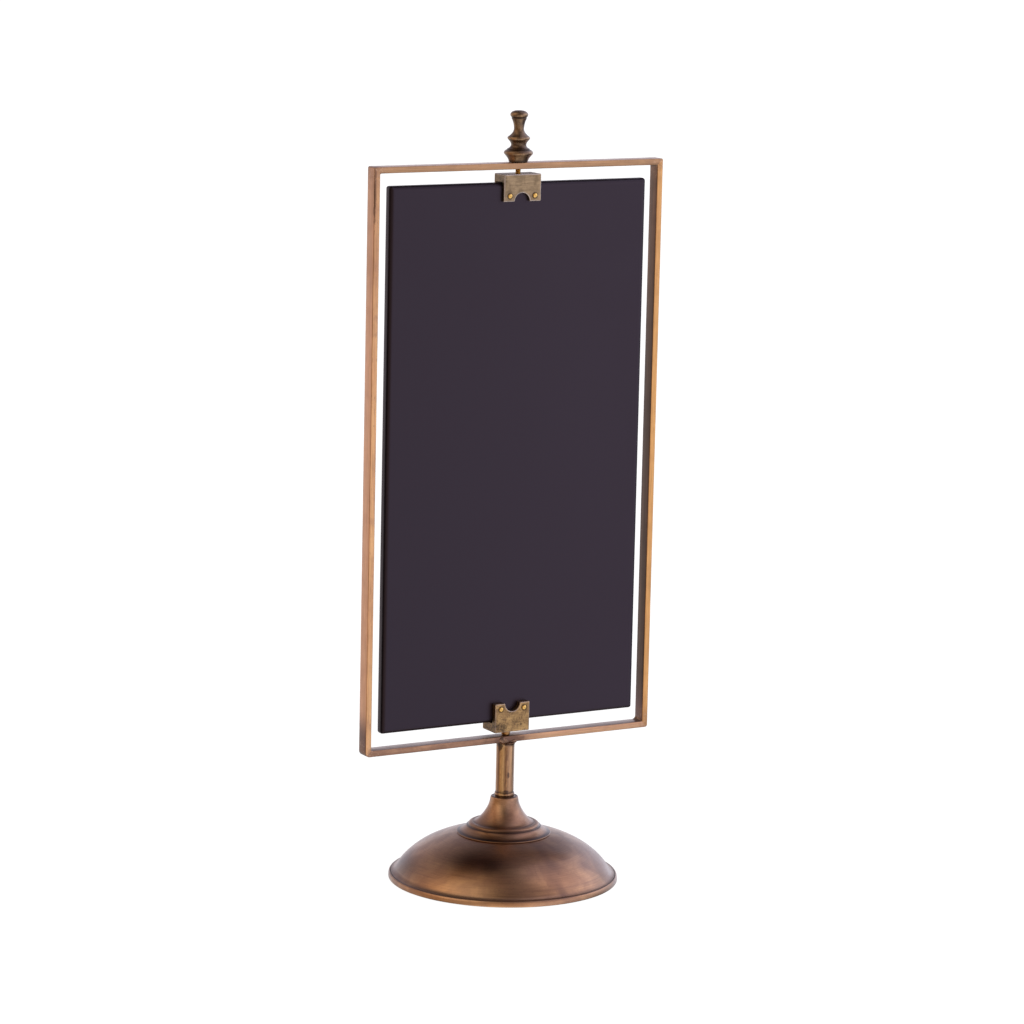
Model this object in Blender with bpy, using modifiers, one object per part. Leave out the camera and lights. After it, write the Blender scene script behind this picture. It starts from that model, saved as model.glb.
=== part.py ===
"""Tabletop sign stand: a black board that swivels on two pins inside an upright
flat-bar brass frame, on a short pole over a weighted, spun brass base.

Metres, +Z up. The origin is the middle of the foot's underside, on the swivel axis.
+X runs along the board at rest, and -Y is the side with the rivet heads.
"""

import math

import bmesh
import bpy
from mathutils import Vector

MM = 0.001

# Gap kept between pieces that touch.
GAP = 0.3 * MM

# Frame of flat bar, mitred and brazed at its corners.
FRAME_WIDTH = 283.7 * MM
FRAME_BOTTOM = 123.9 * MM
FRAME_TOP = 632.1 * MM
BAR_THICKNESS = 5.5 * MM
BAR_DEPTH = 12.7 * MM
BAR_EDGE = 0.5 * MM
MITRE_GAP = 0.2 * MM

# Board.
BOARD_WIDTH = 251.8 * MM
BOARD_THICKNESS = 11.0 * MM
BOARD_BOTTOM = 142.6 * MM
BOARD_TOP = 615.3 * MM
BOARD_CORNER = 2.2 * MM
BOARD_EDGE = 3.8 * MM

# Clamps: blocks with a slot for the board and a half-round notch in each jaw.
UPPER_CLAMP_WIDTH = 36.4 * MM
UPPER_CLAMP_DEPTH = 17.7 * MM
UPPER_CLAMP_TOP = 622.6 * MM
UPPER_CLAMP_HEIGHT = 23.4 * MM
LOWER_CLAMP_WIDTH = 34.4 * MM
LOWER_CLAMP_DEPTH = 22.4 * MM
LOWER_CLAMP_BOTTOM = 134.2 * MM
LOWER_CLAMP_HEIGHT = 25.9 * MM
CLAMP_EDGE = 0.6 * MM
NOTCH_RADIUS = 7.4 * MM

# Rivets through the clamps and the board.
UPPER_RIVET_SPACING = 24.5 * MM
LOWER_RIVET_SPACING = 23.0 * MM
RIVET_INSET = 4.9 * MM
RIVET_RADIUS = 1.2 * MM
RIVET_HEAD_RADIUS = 2.1 * MM
RIVET_HEAD_HEIGHT = 0.9 * MM

# Pivot pins on the swivel axis.
PIN_RADIUS = 2.4 * MM
PIN_BORE = PIN_RADIUS + GAP
PIN_SEAT_DEPTH = 5.5 * MM
SPACER_RADIUS = 3.9 * MM
UPPER_PIN_REACH = 14.0 * MM
LOWER_PIN_REACH = 24.0 * MM

# Pole.
POLE_RADIUS = 8.0 * MM
POLE_FLARE = 9.3 * MM
POLE_FOOT = 67.7 * MM
POLE_BEAD = 8.7 * MM

# Tie rod and the fasteners that pull the base together.
ROD_RADIUS = 4.0 * MM
ROD_BORE = ROD_RADIUS + GAP
ROD_BOTTOM = 2.4 * MM
ROD_TOP = 98.2 * MM

# Base dome: its outer surface is a superellipse turned about the axis.
DOME_RADIUS = 97.8 * MM
DOME_HEIGHT = 44.6 * MM
DOME_BASE = 0.15 * MM
DOME_FLATNESS = 2.52
DOME_FALL = 1.5
DOME_WALL = 1.2 * MM

# Hem rolled along the dome's rim: radius and height where its outline turns.
HEM_START = 94.2 * MM
HEM_COVE = (95.8 * MM, 5.6 * MM)
HEM_SEAM = (98.9 * MM, 4.9 * MM)
HEM_EDGE = (101.1 * MM, 1.3 * MM)
HEM_BOTTOM = 0.3 * MM

# Collar between the pole and the dome: radius and height where its outline turns.
COLLAR_MOUTH = 12.4 * MM
COLLAR_TOP = 74.4 * MM
COLLAR_STEP = (26.8 * MM, 51.05 * MM)
COLLAR_SHOULDER = (31.4 * MM, 49.0 * MM)
COLLAR_LEDGE = (32.6 * MM, 48.1 * MM)
COLLAR_LIP = 41.3 * MM
LIP_THICKNESS = 1.0 * MM

# Weight and foot pad under the dome.
WEIGHT_RADIUS = 85.0 * MM
WEIGHT_BOTTOM = 2.0 * MM
WEIGHT_TOP = 14.0 * MM
BOSS_RADIUS = 20.0 * MM
RECESS_RADIUS = 15.0 * MM
RECESS_TOP = 13.0 * MM
PAD_RADIUS = 94.5 * MM
PAD_THICKNESS = 1.6 * MM


def clear_scene():
    for obj in list(bpy.data.objects):
        bpy.data.objects.remove(obj, do_unlink=True)


def new_collection(name):
    collection = bpy.data.collections.new(name)
    bpy.context.scene.collection.children.link(collection)
    return collection


def new_material(name, colour, metallic, roughness):
    material = bpy.data.materials.new(name)
    material.use_nodes = True
    shader = material.node_tree.nodes["Principled BSDF"]
    shader.inputs["Base Color"].default_value = (*colour, 1.0)
    shader.inputs["Metallic"].default_value = metallic
    shader.inputs["Roughness"].default_value = roughness
    return material


clear_scene()
PARTS = new_collection("sign_stand")
CUTTERS = new_collection("cutters")

FRAME_BRASS = new_material("frame_brass", (0.52, 0.27, 0.15), 1.0, 0.35)
CLAMP_BRASS = new_material("clamp_brass", (0.27, 0.20, 0.11), 1.0, 0.45)
BRIGHT_BRASS = new_material("bright_brass", (0.86, 0.50, 0.13), 1.0, 0.25)
BRONZE = new_material("base_bronze", (0.22, 0.12, 0.07), 1.0, 0.35)
BLACK = new_material("board_black", (0.03, 0.026, 0.034), 0.0, 0.5)
STEEL = new_material("steel", (0.45, 0.45, 0.46), 1.0, 0.35)
IRON = new_material("cast_iron", (0.06, 0.06, 0.06), 0.6, 0.7)
FELT = new_material("felt", (0.03, 0.05, 0.03), 0.0, 0.95)


def new_object(name, mesh, material=None):
    """A part when it has a material, and a cutter when it has none."""
    obj = bpy.data.objects.new(name, mesh)
    if material:
        mesh.materials.append(material)
        PARTS.objects.link(obj)
    else:
        CUTTERS.objects.link(obj)
        obj.hide_render = True
        obj.display_type = "WIRE"
    return obj


def box(name, size, centre, material=None):
    shape = bmesh.new()
    bmesh.ops.create_cube(shape, size=1.0)
    bmesh.ops.scale(shape, vec=size, verts=shape.verts)
    mesh = bpy.data.meshes.new(name)
    shape.to_mesh(mesh)
    shape.free()
    obj = new_object(name, mesh, material)
    obj.location = centre
    return obj


def rod(name, radius, length, centre, sides=24, along_y=False, material=None):
    shape = bmesh.new()
    bmesh.ops.create_cone(
        shape, cap_ends=True, segments=sides, radius1=radius, radius2=radius, depth=length
    )
    mesh = bpy.data.meshes.new(name)
    shape.to_mesh(mesh)
    shape.free()
    obj = new_object(name, mesh, material)
    obj.location = centre
    if along_y:
        obj.rotation_euler.x = math.pi / 2
    return obj


def turned(name, profile, steps, material, closed=False):
    """A profile of (radius, height) points, turned about Z.

    Its outer side runs from top to bottom. A closed profile makes a ring.
    """
    points = [(radius, 0.0, height) for radius, height in profile]
    count = len(points)
    edges = [(i, (i + 1) % count) for i in range(count if closed else count - 1)]
    mesh = bpy.data.meshes.new(name)
    mesh.from_pydata(points, edges, [])
    obj = new_object(name, mesh, material)
    screw = obj.modifiers.new("turn", "SCREW")
    screw.axis = "Z"
    screw.angle = 2 * math.pi
    screw.steps = steps
    screw.render_steps = steps
    screw.use_merge_vertices = True
    screw.merge_threshold = 0.00001
    screw.use_smooth_shade = True
    return obj


def bend(start, corner, end, steps=5):
    """Points of a smooth bend from start to end that leans towards corner; end is left out."""
    points = []
    for i in range(steps):
        t = i / steps
        weights = ((1 - t) ** 2, 2 * t * (1 - t), t * t)
        points.append(
            tuple(sum(w * p[k] for w, p in zip(weights, (start, corner, end))) for k in (0, 1))
        )
    return points


def round_edges(obj, axes, width, segments):
    """Rounds those edges of a box that run along the given axes: 0 for X, 1 for Y, 2 for Z."""
    shape = bmesh.new()
    shape.from_mesh(obj.data)
    chosen = []
    for edge in shape.edges:
        run = edge.verts[1].co - edge.verts[0].co
        if max(range(3), key=lambda axis: abs(run[axis])) in axes:
            chosen.append(edge)
    bmesh.ops.bevel(
        shape, geom=chosen, offset=width, segments=segments, profile=0.5, affect="EDGES"
    )
    shape.to_mesh(obj.data)
    shape.free()


def bevel(obj, width, segments=2):
    modifier = obj.modifiers.new("edges", "BEVEL")
    modifier.width = width
    modifier.segments = segments
    modifier.limit_method = "ANGLE"
    modifier.angle_limit = math.radians(40)


def cut(obj, *cutters):
    for cutter in cutters:
        modifier = obj.modifiers.new(cutter.name, "BOOLEAN")
        modifier.operation = "DIFFERENCE"
        modifier.object = cutter


def dome_height(radius):
    """Height of the dome's outer surface at this distance from the axis."""
    inside = max(0.0, 1 - (radius / DOME_RADIUS) ** DOME_FLATNESS)
    return DOME_HEIGHT * inside ** (1 / DOME_FALL) + DOME_BASE


# ---------------------------------------------------------------- frame


def frame_bar(name, length, centre, turn):
    """A bar along X whose inner side faces -Z, mitred at both ends, then turned about Y."""
    obj = box(name, (length - 2 * MITRE_GAP, BAR_DEPTH, BAR_THICKNESS), centre, FRAME_BRASS)
    for vertex in obj.data.vertices:
        if vertex.co.z < 0:
            vertex.co.x -= math.copysign(BAR_THICKNESS, vertex.co.x)
    obj.rotation_euler.y = turn
    bevel(obj, BAR_EDGE, 1)
    return obj


def make_frame():
    height = FRAME_TOP - FRAME_BOTTOM
    middle = (FRAME_TOP + FRAME_BOTTOM) / 2
    half_bar = BAR_THICKNESS / 2
    side = FRAME_WIDTH / 2 - half_bar
    top = frame_bar("top_rail", FRAME_WIDTH, (0, 0, FRAME_TOP - half_bar), 0)
    bottom = frame_bar("bottom_rail", FRAME_WIDTH, (0, 0, FRAME_BOTTOM + half_bar), math.pi)
    frame_bar("right_stile", height, (side, 0, middle), math.pi / 2)
    frame_bar("left_stile", height, (-side, 0, middle), -math.pi / 2)
    for rail, level in ((top, FRAME_TOP), (bottom, FRAME_BOTTOM)):
        cut(rail, rod(rail.name + "_bore", PIN_BORE, 40 * MM, (0, 0, level)))


# ---------------------------------------------------------------- swivelling board


def rivet_places(spacing, height):
    return [(side * spacing / 2, 0, height) for side in (-1, 1)]


UPPER_RIVETS = rivet_places(
    UPPER_RIVET_SPACING, UPPER_CLAMP_TOP - UPPER_CLAMP_HEIGHT + RIVET_INSET
)
LOWER_RIVETS = rivet_places(
    LOWER_RIVET_SPACING, LOWER_CLAMP_BOTTOM + LOWER_CLAMP_HEIGHT - RIVET_INSET
)


def rivet_bores():
    places = UPPER_RIVETS + LOWER_RIVETS
    return [
        rod(f"rivet_bore_{i + 1}", RIVET_RADIUS + GAP, 60 * MM, place, 12, along_y=True)
        for i, place in enumerate(places)
    ]


def make_board(bores):
    height = BOARD_TOP - BOARD_BOTTOM
    centre = (0, 0, (BOARD_TOP + BOARD_BOTTOM) / 2)
    board = box("board", (BOARD_WIDTH, BOARD_THICKNESS, height), centre, BLACK)
    round_edges(board, (0, 2), BOARD_EDGE, 3)
    outline = box("board_outline", (BOARD_WIDTH, 3 * BOARD_THICKNESS, height), centre)
    round_edges(outline, (1,), BOARD_CORNER, 4)
    corners = board.modifiers.new("corners", "BOOLEAN")
    corners.operation = "INTERSECT"
    corners.object = outline
    cut(board, *bores)


def make_clamp(name, size, bridge, notch, pin_seat, bores):
    """A block over the board's edge. bridge is +1 for a bridge on top and -1 for one below.

    notch is the height of the jaws' free edge, and pin_seat that of the blind bore's bottom.
    """
    width, depth, height = size
    block = box(name, size, (0, 0, notch + bridge * height / 2), CLAMP_BRASS)
    bevel(block, CLAMP_EDGE, 2)
    board_edge = (BOARD_TOP if bridge > 0 else BOARD_BOTTOM) + bridge * GAP
    slot_size = (2 * width, BOARD_THICKNESS + 2 * GAP, 2 * height)
    slot = box(name + "_slot", slot_size, (0, 0, board_edge - bridge * height))
    half_round = rod(name + "_notch", NOTCH_RADIUS, 2 * depth, (0, 0, notch), 28, along_y=True)
    seat = rod(name + "_seat", PIN_BORE, height, (0, 0, pin_seat + bridge * height / 2))
    cut(block, slot, half_round, seat, *bores)


def make_clamps(bores):
    make_clamp(
        "upper_clamp",
        (UPPER_CLAMP_WIDTH, UPPER_CLAMP_DEPTH, UPPER_CLAMP_HEIGHT),
        1,
        UPPER_CLAMP_TOP - UPPER_CLAMP_HEIGHT,
        UPPER_CLAMP_TOP - PIN_SEAT_DEPTH,
        bores[:2],
    )
    make_clamp(
        "lower_clamp",
        (LOWER_CLAMP_WIDTH, LOWER_CLAMP_DEPTH, LOWER_CLAMP_HEIGHT),
        -1,
        LOWER_CLAMP_BOTTOM + LOWER_CLAMP_HEIGHT,
        LOWER_CLAMP_BOTTOM + PIN_SEAT_DEPTH,
        bores[2:],
    )


def make_rivet(name, place, clamp_depth):
    """A rivet along Y with a domed head on each side of its clamp."""
    seat = clamp_depth / 2 + GAP
    tip = seat + RIVET_HEAD_HEIGHT
    head = (RIVET_HEAD_RADIUS, seat)
    profile = [
        *bend((0, tip), (0.85 * RIVET_HEAD_RADIUS, tip), head, 4),
        head,
        (RIVET_RADIUS, seat),
    ]
    mirrored = [(radius, -height) for radius, height in reversed(profile)]
    rivet = turned(name, profile + mirrored, 14, BRIGHT_BRASS)
    rivet.location = place
    rivet.rotation_euler.x = math.pi / 2


def make_rivets():
    for i, place in enumerate(UPPER_RIVETS):
        make_rivet(f"upper_rivet_{i + 1}", place, UPPER_CLAMP_DEPTH)
    for i, place in enumerate(LOWER_RIVETS):
        make_rivet(f"lower_rivet_{i + 1}", place, LOWER_CLAMP_DEPTH)


# ---------------------------------------------------------------- pivots and finial


def pin_profile(bottom, top):
    chamfer = 0.5 * MM
    return [
        (0, top),
        (PIN_RADIUS - chamfer, top),
        (PIN_RADIUS, top - chamfer),
        (PIN_RADIUS, bottom + chamfer),
        (PIN_RADIUS - chamfer, bottom),
        (0, bottom),
    ]


def make_pins():
    turned(
        "upper_pivot_pin",
        pin_profile(UPPER_CLAMP_TOP - PIN_SEAT_DEPTH + GAP, FRAME_TOP + UPPER_PIN_REACH),
        20,
        BRIGHT_BRASS,
    )
    turned(
        "lower_pivot_pin",
        pin_profile(FRAME_BOTTOM - LOWER_PIN_REACH, LOWER_CLAMP_BOTTOM + PIN_SEAT_DEPTH - GAP),
        20,
        BRIGHT_BRASS,
    )
    top = LOWER_CLAMP_BOTTOM - GAP
    bottom = FRAME_BOTTOM + BAR_THICKNESS + GAP
    chamfer = 0.4 * MM
    turned(
        "lower_pivot_spacer",
        [
            (PIN_BORE, top),
            (SPACER_RADIUS - chamfer, top),
            (SPACER_RADIUS, top - chamfer),
            (SPACER_RADIUS, bottom + chamfer),
            (SPACER_RADIUS - chamfer, bottom),
            (PIN_BORE, bottom),
        ],
        28,
        BRIGHT_BRASS,
        closed=True,
    )


def make_finial():
    """A turned finial: cupped foot, two discs with a neck between them, waist and button top."""
    seat = GAP
    bore_top = UPPER_PIN_REACH / MM + 0.6
    outline = [
        *bend((0, 44.4), (6.9, 44.4), (7.7, 40.9), 4),
        *bend((7.7, 40.9), (7.7, 39.3), (6.9, 38.2), 2),
        *bend((6.2, 37.4), (4.6, 33.6), (4.3, 28.9), 3),
        *bend((4.3, 28.9), (4.6, 25.0), (8.9, 22.0), 4),
        *bend((8.9, 22.0), (10.6, 20.8), (9.2, 19.2), 3),
        *bend((9.2, 19.2), (6.6, 16.9), (6.6, 15.0), 3),
        *bend((6.6, 15.0), (6.8, 12.4), (9.9, 11.2), 3),
        *bend((10.4, 10.9), (12.6, 9.9), (12.6, 8.2), 3),
        *bend((12.6, 8.2), (12.5, 6.8), (11.2, 5.7), 2),
        *bend((11.2, 5.7), (9.2, 3.7), (8.5, 1.8), 3),
        (8.5, 1.8),
        (7.8, seat / MM),
        (PIN_BORE / MM, seat / MM),
        (PIN_BORE / MM, bore_top),
        (0, bore_top),
    ]
    profile = [(radius * MM, FRAME_TOP + height * MM) for radius, height in outline]
    turned("finial", profile, 24, CLAMP_BRASS)


# ---------------------------------------------------------------- pole and base


def make_pole():
    """A solid pole: flared where it is brazed to the frame, and bored at both ends."""
    top = FRAME_BOTTOM - GAP
    pin_bottom = FRAME_BOTTOM - LOWER_PIN_REACH - GAP
    rod_top = ROD_TOP + GAP
    bead = COLLAR_TOP + 2.2 * MM
    profile = [
        (0, pin_bottom),
        (PIN_BORE, pin_bottom),
        (PIN_BORE, top),
        *bend((POLE_FLARE, top), (POLE_RADIUS, top - 1.2 * MM), (POLE_RADIUS, top - 4.5 * MM), 4),
        (POLE_RADIUS, top - 4.5 * MM),
        (POLE_RADIUS, bead + 2.2 * MM),
        *bend((POLE_RADIUS, bead + 1.6 * MM), (POLE_BEAD, bead + 1.4 * MM), (POLE_BEAD, bead), 3),
        *bend((POLE_BEAD, bead), (POLE_BEAD, bead - 1.4 * MM), (POLE_RADIUS, bead - 1.6 * MM), 3),
        (POLE_RADIUS, bead - 1.6 * MM),
        (POLE_RADIUS, POLE_FOOT),
        (ROD_BORE, POLE_FOOT),
        (ROD_BORE, rod_top),
        (0, rod_top),
    ]
    turned("pole", profile, 28, FRAME_BRASS)


def collar_flare():
    """The collar's concave neck, steep at the mouth and nearly level at the step."""
    points = []
    steps = 5
    low_radius, low_height = COLLAR_STEP
    high = COLLAR_TOP - 2.2 * MM
    for i in range(steps + 1):
        fall = i / steps
        spread = 1 - (1 - fall**1.53) ** (1 / 1.37)
        radius = COLLAR_MOUTH + (low_radius - COLLAR_MOUTH) * spread
        points.append((radius, high + (low_height - high) * fall))
    return points


def make_collar():
    """Bell-shaped neck, convex shoulder, narrow ledge, and a thin lip that rests on the dome."""
    socket = POLE_RADIUS + GAP
    top = COLLAR_TOP
    mouth_edge = COLLAR_MOUTH - 0.2 * MM
    shoulder_bulge = (30.4 * MM, 51.4 * MM)
    ledge_root = (31.5 * MM, 48.3 * MM)
    lip_sweep = (35.2 * MM, 44.8 * MM)
    lip_bottom = dome_height(COLLAR_LIP) + GAP
    lip_crest = (COLLAR_LIP - 0.7 * MM, lip_bottom + LIP_THICKNESS)
    underside = [
        (radius, dome_height(radius) + GAP)
        for radius in (COLLAR_LIP, 36 * MM, 30 * MM, 18 * MM, ROD_BORE)
    ]
    profile = [
        (socket, top - 0.6 * MM),
        (socket + 0.8 * MM, top),
        *bend((mouth_edge - 1.9 * MM, top), (mouth_edge, top), (mouth_edge, top - 1.8 * MM), 3),
        *collar_flare(),
        *bend(COLLAR_STEP, shoulder_bulge, COLLAR_SHOULDER, 4)[1:],
        *bend(COLLAR_SHOULDER, ledge_root, COLLAR_LEDGE, 2),
        *bend(COLLAR_LEDGE, lip_sweep, lip_crest, 4),
        lip_crest,
        (COLLAR_LIP, lip_bottom + 0.6 * LIP_THICKNESS),
        *underside,
        (ROD_BORE, POLE_FOOT - GAP),
        (socket, POLE_FOOT - GAP),
    ]
    turned("base_collar", profile, 40, BRONZE, closed=True)


def make_dome():
    """A spun shell that flares out to a hem rolled along its rim, open below."""
    stations = 11
    first = ROD_BORE + GAP
    profile = []
    for i in range(stations):
        radius = first + (HEM_START - first) * math.sin(math.pi / 2 * i / stations)
        profile.append((radius, dome_height(radius)))
    edge_radius = HEM_EDGE[0]
    foot = (edge_radius - 2.4 * MM, HEM_BOTTOM)
    profile += [
        *bend((HEM_START, dome_height(HEM_START)), HEM_COVE, HEM_SEAM, 3),
        *bend(HEM_SEAM, (edge_radius, HEM_SEAM[1]), HEM_EDGE, 3),
        *bend(HEM_EDGE, (edge_radius, HEM_BOTTOM), foot, 3),
        foot,
    ]
    dome = turned("base_dome", profile, 48, BRONZE)
    wall = dome.modifiers.new("wall", "SOLIDIFY")
    wall.thickness = DOME_WALL
    wall.offset = -1
    wall.use_even_offset = True


def make_weight():
    boss_top = dome_height(BOSS_RADIUS) - DOME_WALL - GAP
    chamfer = 6 * MM
    profile = [
        (ROD_BORE, boss_top),
        (BOSS_RADIUS, boss_top),
        (BOSS_RADIUS + 3 * MM, WEIGHT_TOP),
        (WEIGHT_RADIUS - chamfer, WEIGHT_TOP),
        (WEIGHT_RADIUS, WEIGHT_TOP - chamfer),
        (WEIGHT_RADIUS, WEIGHT_BOTTOM),
        (RECESS_RADIUS, WEIGHT_BOTTOM),
        (RECESS_RADIUS, RECESS_TOP),
        (ROD_BORE, RECESS_TOP),
    ]
    turned("base_weight", profile, 40, IRON, closed=True)


def make_pad():
    edge = 0.3 * MM
    profile = [
        (0, PAD_THICKNESS),
        (PAD_RADIUS - edge, PAD_THICKNESS),
        (PAD_RADIUS, PAD_THICKNESS - edge),
        (PAD_RADIUS, edge),
        (PAD_RADIUS - edge, 0),
        (0, 0),
    ]
    turned("foot_pad", profile, 40, FELT)


def ring(name, outer, bottom, top, material):
    profile = [(ROD_BORE, top), (outer, top), (outer, bottom), (ROD_BORE, bottom)]
    return turned(name, profile, 32, material, closed=True)


def make_fasteners():
    chamfer = 0.7 * MM
    turned(
        "tie_rod",
        [
            (0, ROD_TOP),
            (ROD_RADIUS - chamfer, ROD_TOP),
            (ROD_RADIUS, ROD_TOP - chamfer),
            (ROD_RADIUS, ROD_BOTTOM + chamfer),
            (ROD_RADIUS - chamfer, ROD_BOTTOM),
            (0, ROD_BOTTOM),
        ],
        24,
        STEEL,
    )
    ring("rod_washer", 12 * MM, RECESS_TOP - 1.9 * MM, RECESS_TOP - GAP, STEEL)
    ring("lock_washer", 7.4 * MM, RECESS_TOP - 3.4 * MM, RECESS_TOP - 2.2 * MM, STEEL)
    nut_height = 6.4 * MM
    nut_top = RECESS_TOP - 3.7 * MM
    nut_centre = (0, 0, nut_top - nut_height / 2)
    nut = rod("rod_nut", 7.5 * MM, nut_height, nut_centre, sides=6, material=STEEL)
    cut(nut, rod("rod_nut_bore", ROD_BORE, 3 * nut_height, nut_centre))


def swivel_parts():
    """Parents the pieces that turn with the board to an empty on the swivel axis."""
    swivel = bpy.data.objects.new("swivel", None)
    PARTS.objects.link(swivel)
    swivel.location = Vector((0, 0, LOWER_CLAMP_BOTTOM))
    bpy.context.view_layer.update()
    turning = ("board", "upper_clamp", "lower_clamp", "upper_rivet", "lower_rivet")
    for obj in PARTS.objects:
        if obj.name.startswith(turning):
            obj.parent = swivel
            obj.matrix_parent_inverse = swivel.matrix_world.inverted()


def main():
    bores = rivet_bores()
    make_frame()
    make_board(bores)
    make_clamps(bores)
    make_rivets()
    make_pins()
    make_finial()
    make_pole()
    make_collar()
    make_dome()
    make_weight()
    make_pad()
    make_fasteners()
    swivel_parts()


main()
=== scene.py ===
"""Looks of the sign stand: fine meshes, finishes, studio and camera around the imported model.

Metres, +Z up. The board turns about the Z axis, +X runs along it at rest, and -Y is the side
with the rivet heads that the camera sees.
"""

import math

import bmesh
import bpy
from mathutils import Matrix, Vector, noise


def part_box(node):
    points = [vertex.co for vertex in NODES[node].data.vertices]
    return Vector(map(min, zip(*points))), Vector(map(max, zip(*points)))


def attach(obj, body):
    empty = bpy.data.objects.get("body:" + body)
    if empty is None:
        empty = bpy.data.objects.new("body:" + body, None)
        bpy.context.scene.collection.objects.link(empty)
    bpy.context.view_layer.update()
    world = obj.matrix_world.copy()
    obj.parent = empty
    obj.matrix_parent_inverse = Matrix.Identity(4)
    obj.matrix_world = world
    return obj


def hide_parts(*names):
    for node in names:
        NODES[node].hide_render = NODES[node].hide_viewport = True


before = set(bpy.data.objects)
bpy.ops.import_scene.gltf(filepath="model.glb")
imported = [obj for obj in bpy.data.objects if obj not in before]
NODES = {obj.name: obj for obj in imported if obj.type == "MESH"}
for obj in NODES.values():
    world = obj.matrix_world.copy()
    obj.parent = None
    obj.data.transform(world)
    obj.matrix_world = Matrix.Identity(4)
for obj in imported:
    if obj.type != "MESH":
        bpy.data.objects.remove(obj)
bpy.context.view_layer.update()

MM = 0.001

# Camera: where it stands around the target, in degrees, and how it is held.
CAMERA_TARGET = Vector((1.43, 0.0, 327.7)) * MM
CAMERA_AZIMUTH = 29.784
CAMERA_ELEVATION = 10.193
CAMERA_ROLL = 1.262
CAMERA_DISTANCE = 3.5375
CAMERA_LENS = 143.08
CAMERA_SENSOR = 36.0

# Places and main sizes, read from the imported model.
RAIL_LOW, RAIL_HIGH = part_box("top_rail")
FRAME_HALF_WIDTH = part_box("right_stile")[1].x
FRAME_TOP = RAIL_HIGH.z
FRAME_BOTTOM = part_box("bottom_rail")[0].z
FRAME_MIDDLE = (FRAME_TOP + FRAME_BOTTOM) / 2
FRAME_HALF_HEIGHT = (FRAME_TOP - FRAME_BOTTOM) / 2
BAR_THICKNESS = RAIL_HIGH.z - RAIL_LOW.z
BAR_DEPTH = RAIL_HIGH.y - RAIL_LOW.y
BOARD_LOW, BOARD_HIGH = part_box("board")
UPPER_CLAMP_LOW, UPPER_CLAMP_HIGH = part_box("upper_clamp")
LOWER_CLAMP_LOW, LOWER_CLAMP_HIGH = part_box("lower_clamp")
PIN_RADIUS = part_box("upper_pivot_pin")[1].x
POLE_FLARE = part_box("pole")[1].x
POLE_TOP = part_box("pole")[1].z
POLE_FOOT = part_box("pole")[0].z
COLLAR_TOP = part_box("base_collar")[1].z
COLLAR_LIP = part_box("base_collar")[1].x

# Shape details that the boxes don't give.
GAP = 0.3 * MM
PIN_BORE = PIN_RADIUS + GAP
ROD_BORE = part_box("tie_rod")[1].x + GAP
BAR_EDGE = 0.6 * MM
FRAME_CORNERS = {
    "top_left": 1.6 * MM,
    "top_right": 1.3 * MM,
    "bottom_left": 4.2 * MM,
    "bottom_right": 2.4 * MM,
}
FRAME_INSIDE_CORNER = 0.8 * MM
BOARD_CORNER = 2.2 * MM
BOARD_EDGE = 3.8 * MM
NOTCH_RADIUS = 7.4 * MM
PIN_SEAT_DEPTH = 5.5 * MM
RIVET_BORE = 1.5 * MM
CUT_LENGTH = 60 * MM
POLE_RADIUS = 8.0 * MM
POLE_BEAD = 8.7 * MM
DOME_RADIUS = 97.8 * MM
DOME_HEIGHT = 44.6 * MM
DOME_BASE = 0.15 * MM
DOME_FLATNESS = 2.52
DOME_FALL = 1.5
DOME_WALL = 1.2 * MM

# Hem along the dome's rim: radius and height where its outline turns.
HEM_START = 94.2 * MM
HEM_COVE = (95.8 * MM, 6.2 * MM)
HEM_SEAM = (98.9 * MM, 5.6 * MM)
HEM_EDGE = (101.1 * MM, 1.3 * MM)
HEM_BOTTOM = 0.3 * MM

# Collar: radius and height where its outline turns.
COLLAR_MOUTH = 12.4 * MM
COLLAR_STEP = (26.8 * MM, 51.05 * MM)
COLLAR_SHOULDER = (31.4 * MM, 49.0 * MM)
COLLAR_LEDGE = (32.6 * MM, 48.1 * MM)
LIP_THICKNESS = 1.0 * MM

# Painted reflections, highlights and shade on the dome: azimuth in degrees, radius in millimetres,
# sizes sideways, outwards and up in millimetres, and the factors that their colour is multiplied
# by.
DOME_PAINTED_LIGHT = (
    (-48, 69, (46, 26, 11), (0.34, 0.27, 0.27)),
    (-103, 57, (32, 24, 16), (1.25, 1.38, 1.50)),
    (-106, 90, (40, 22, 18), (0.50, 0.58, 0.74)),
    (33, 57, (32, 26, 16), (0.78, 0.78, 0.80)),
    (-2, 88, (36, 20, 13), (1.35, 1.32, 1.20)),
    (-48, 94, (44, 24, 15), (1.40, 1.65, 1.80)),
    (-38, 101, (100, 60, 10), (1.80, 2.00, 2.15)),
)


# ---------------------------------------------------------------- mesh helpers


def add_piece(name, mesh, material):
    piece = bpy.data.objects.new(name, mesh)
    bpy.context.scene.collection.objects.link(piece)
    if material:
        mesh.materials.append(material)
    return piece


def stand_in(piece, body, slot, *nodes):
    """The piece rides on a body and stands for CAD nodes, which it hides. slot is not used."""
    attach(piece, body)
    if nodes:
        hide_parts(*nodes)
    return piece


def smooth(mesh, degrees=35):
    mesh.shade_smooth()
    mesh.set_sharp_from_angle(angle=math.radians(degrees))


def store(mesh, name, values):
    """Keeps one number per vertex, for the finishes to read."""
    attribute = mesh.attributes.new(name, "FLOAT", "POINT")
    attribute.data.foreach_set("value", values)


def arc(centre, radius, start, end, count):
    """Points of a circle arc between two angles in degrees, both ends included."""
    points = []
    for i in range(count):
        angle = math.radians(start + (end - start) * i / (count - 1))
        points.append((centre[0] + radius * math.cos(angle), centre[1] + radius * math.sin(angle)))
    return points


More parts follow.
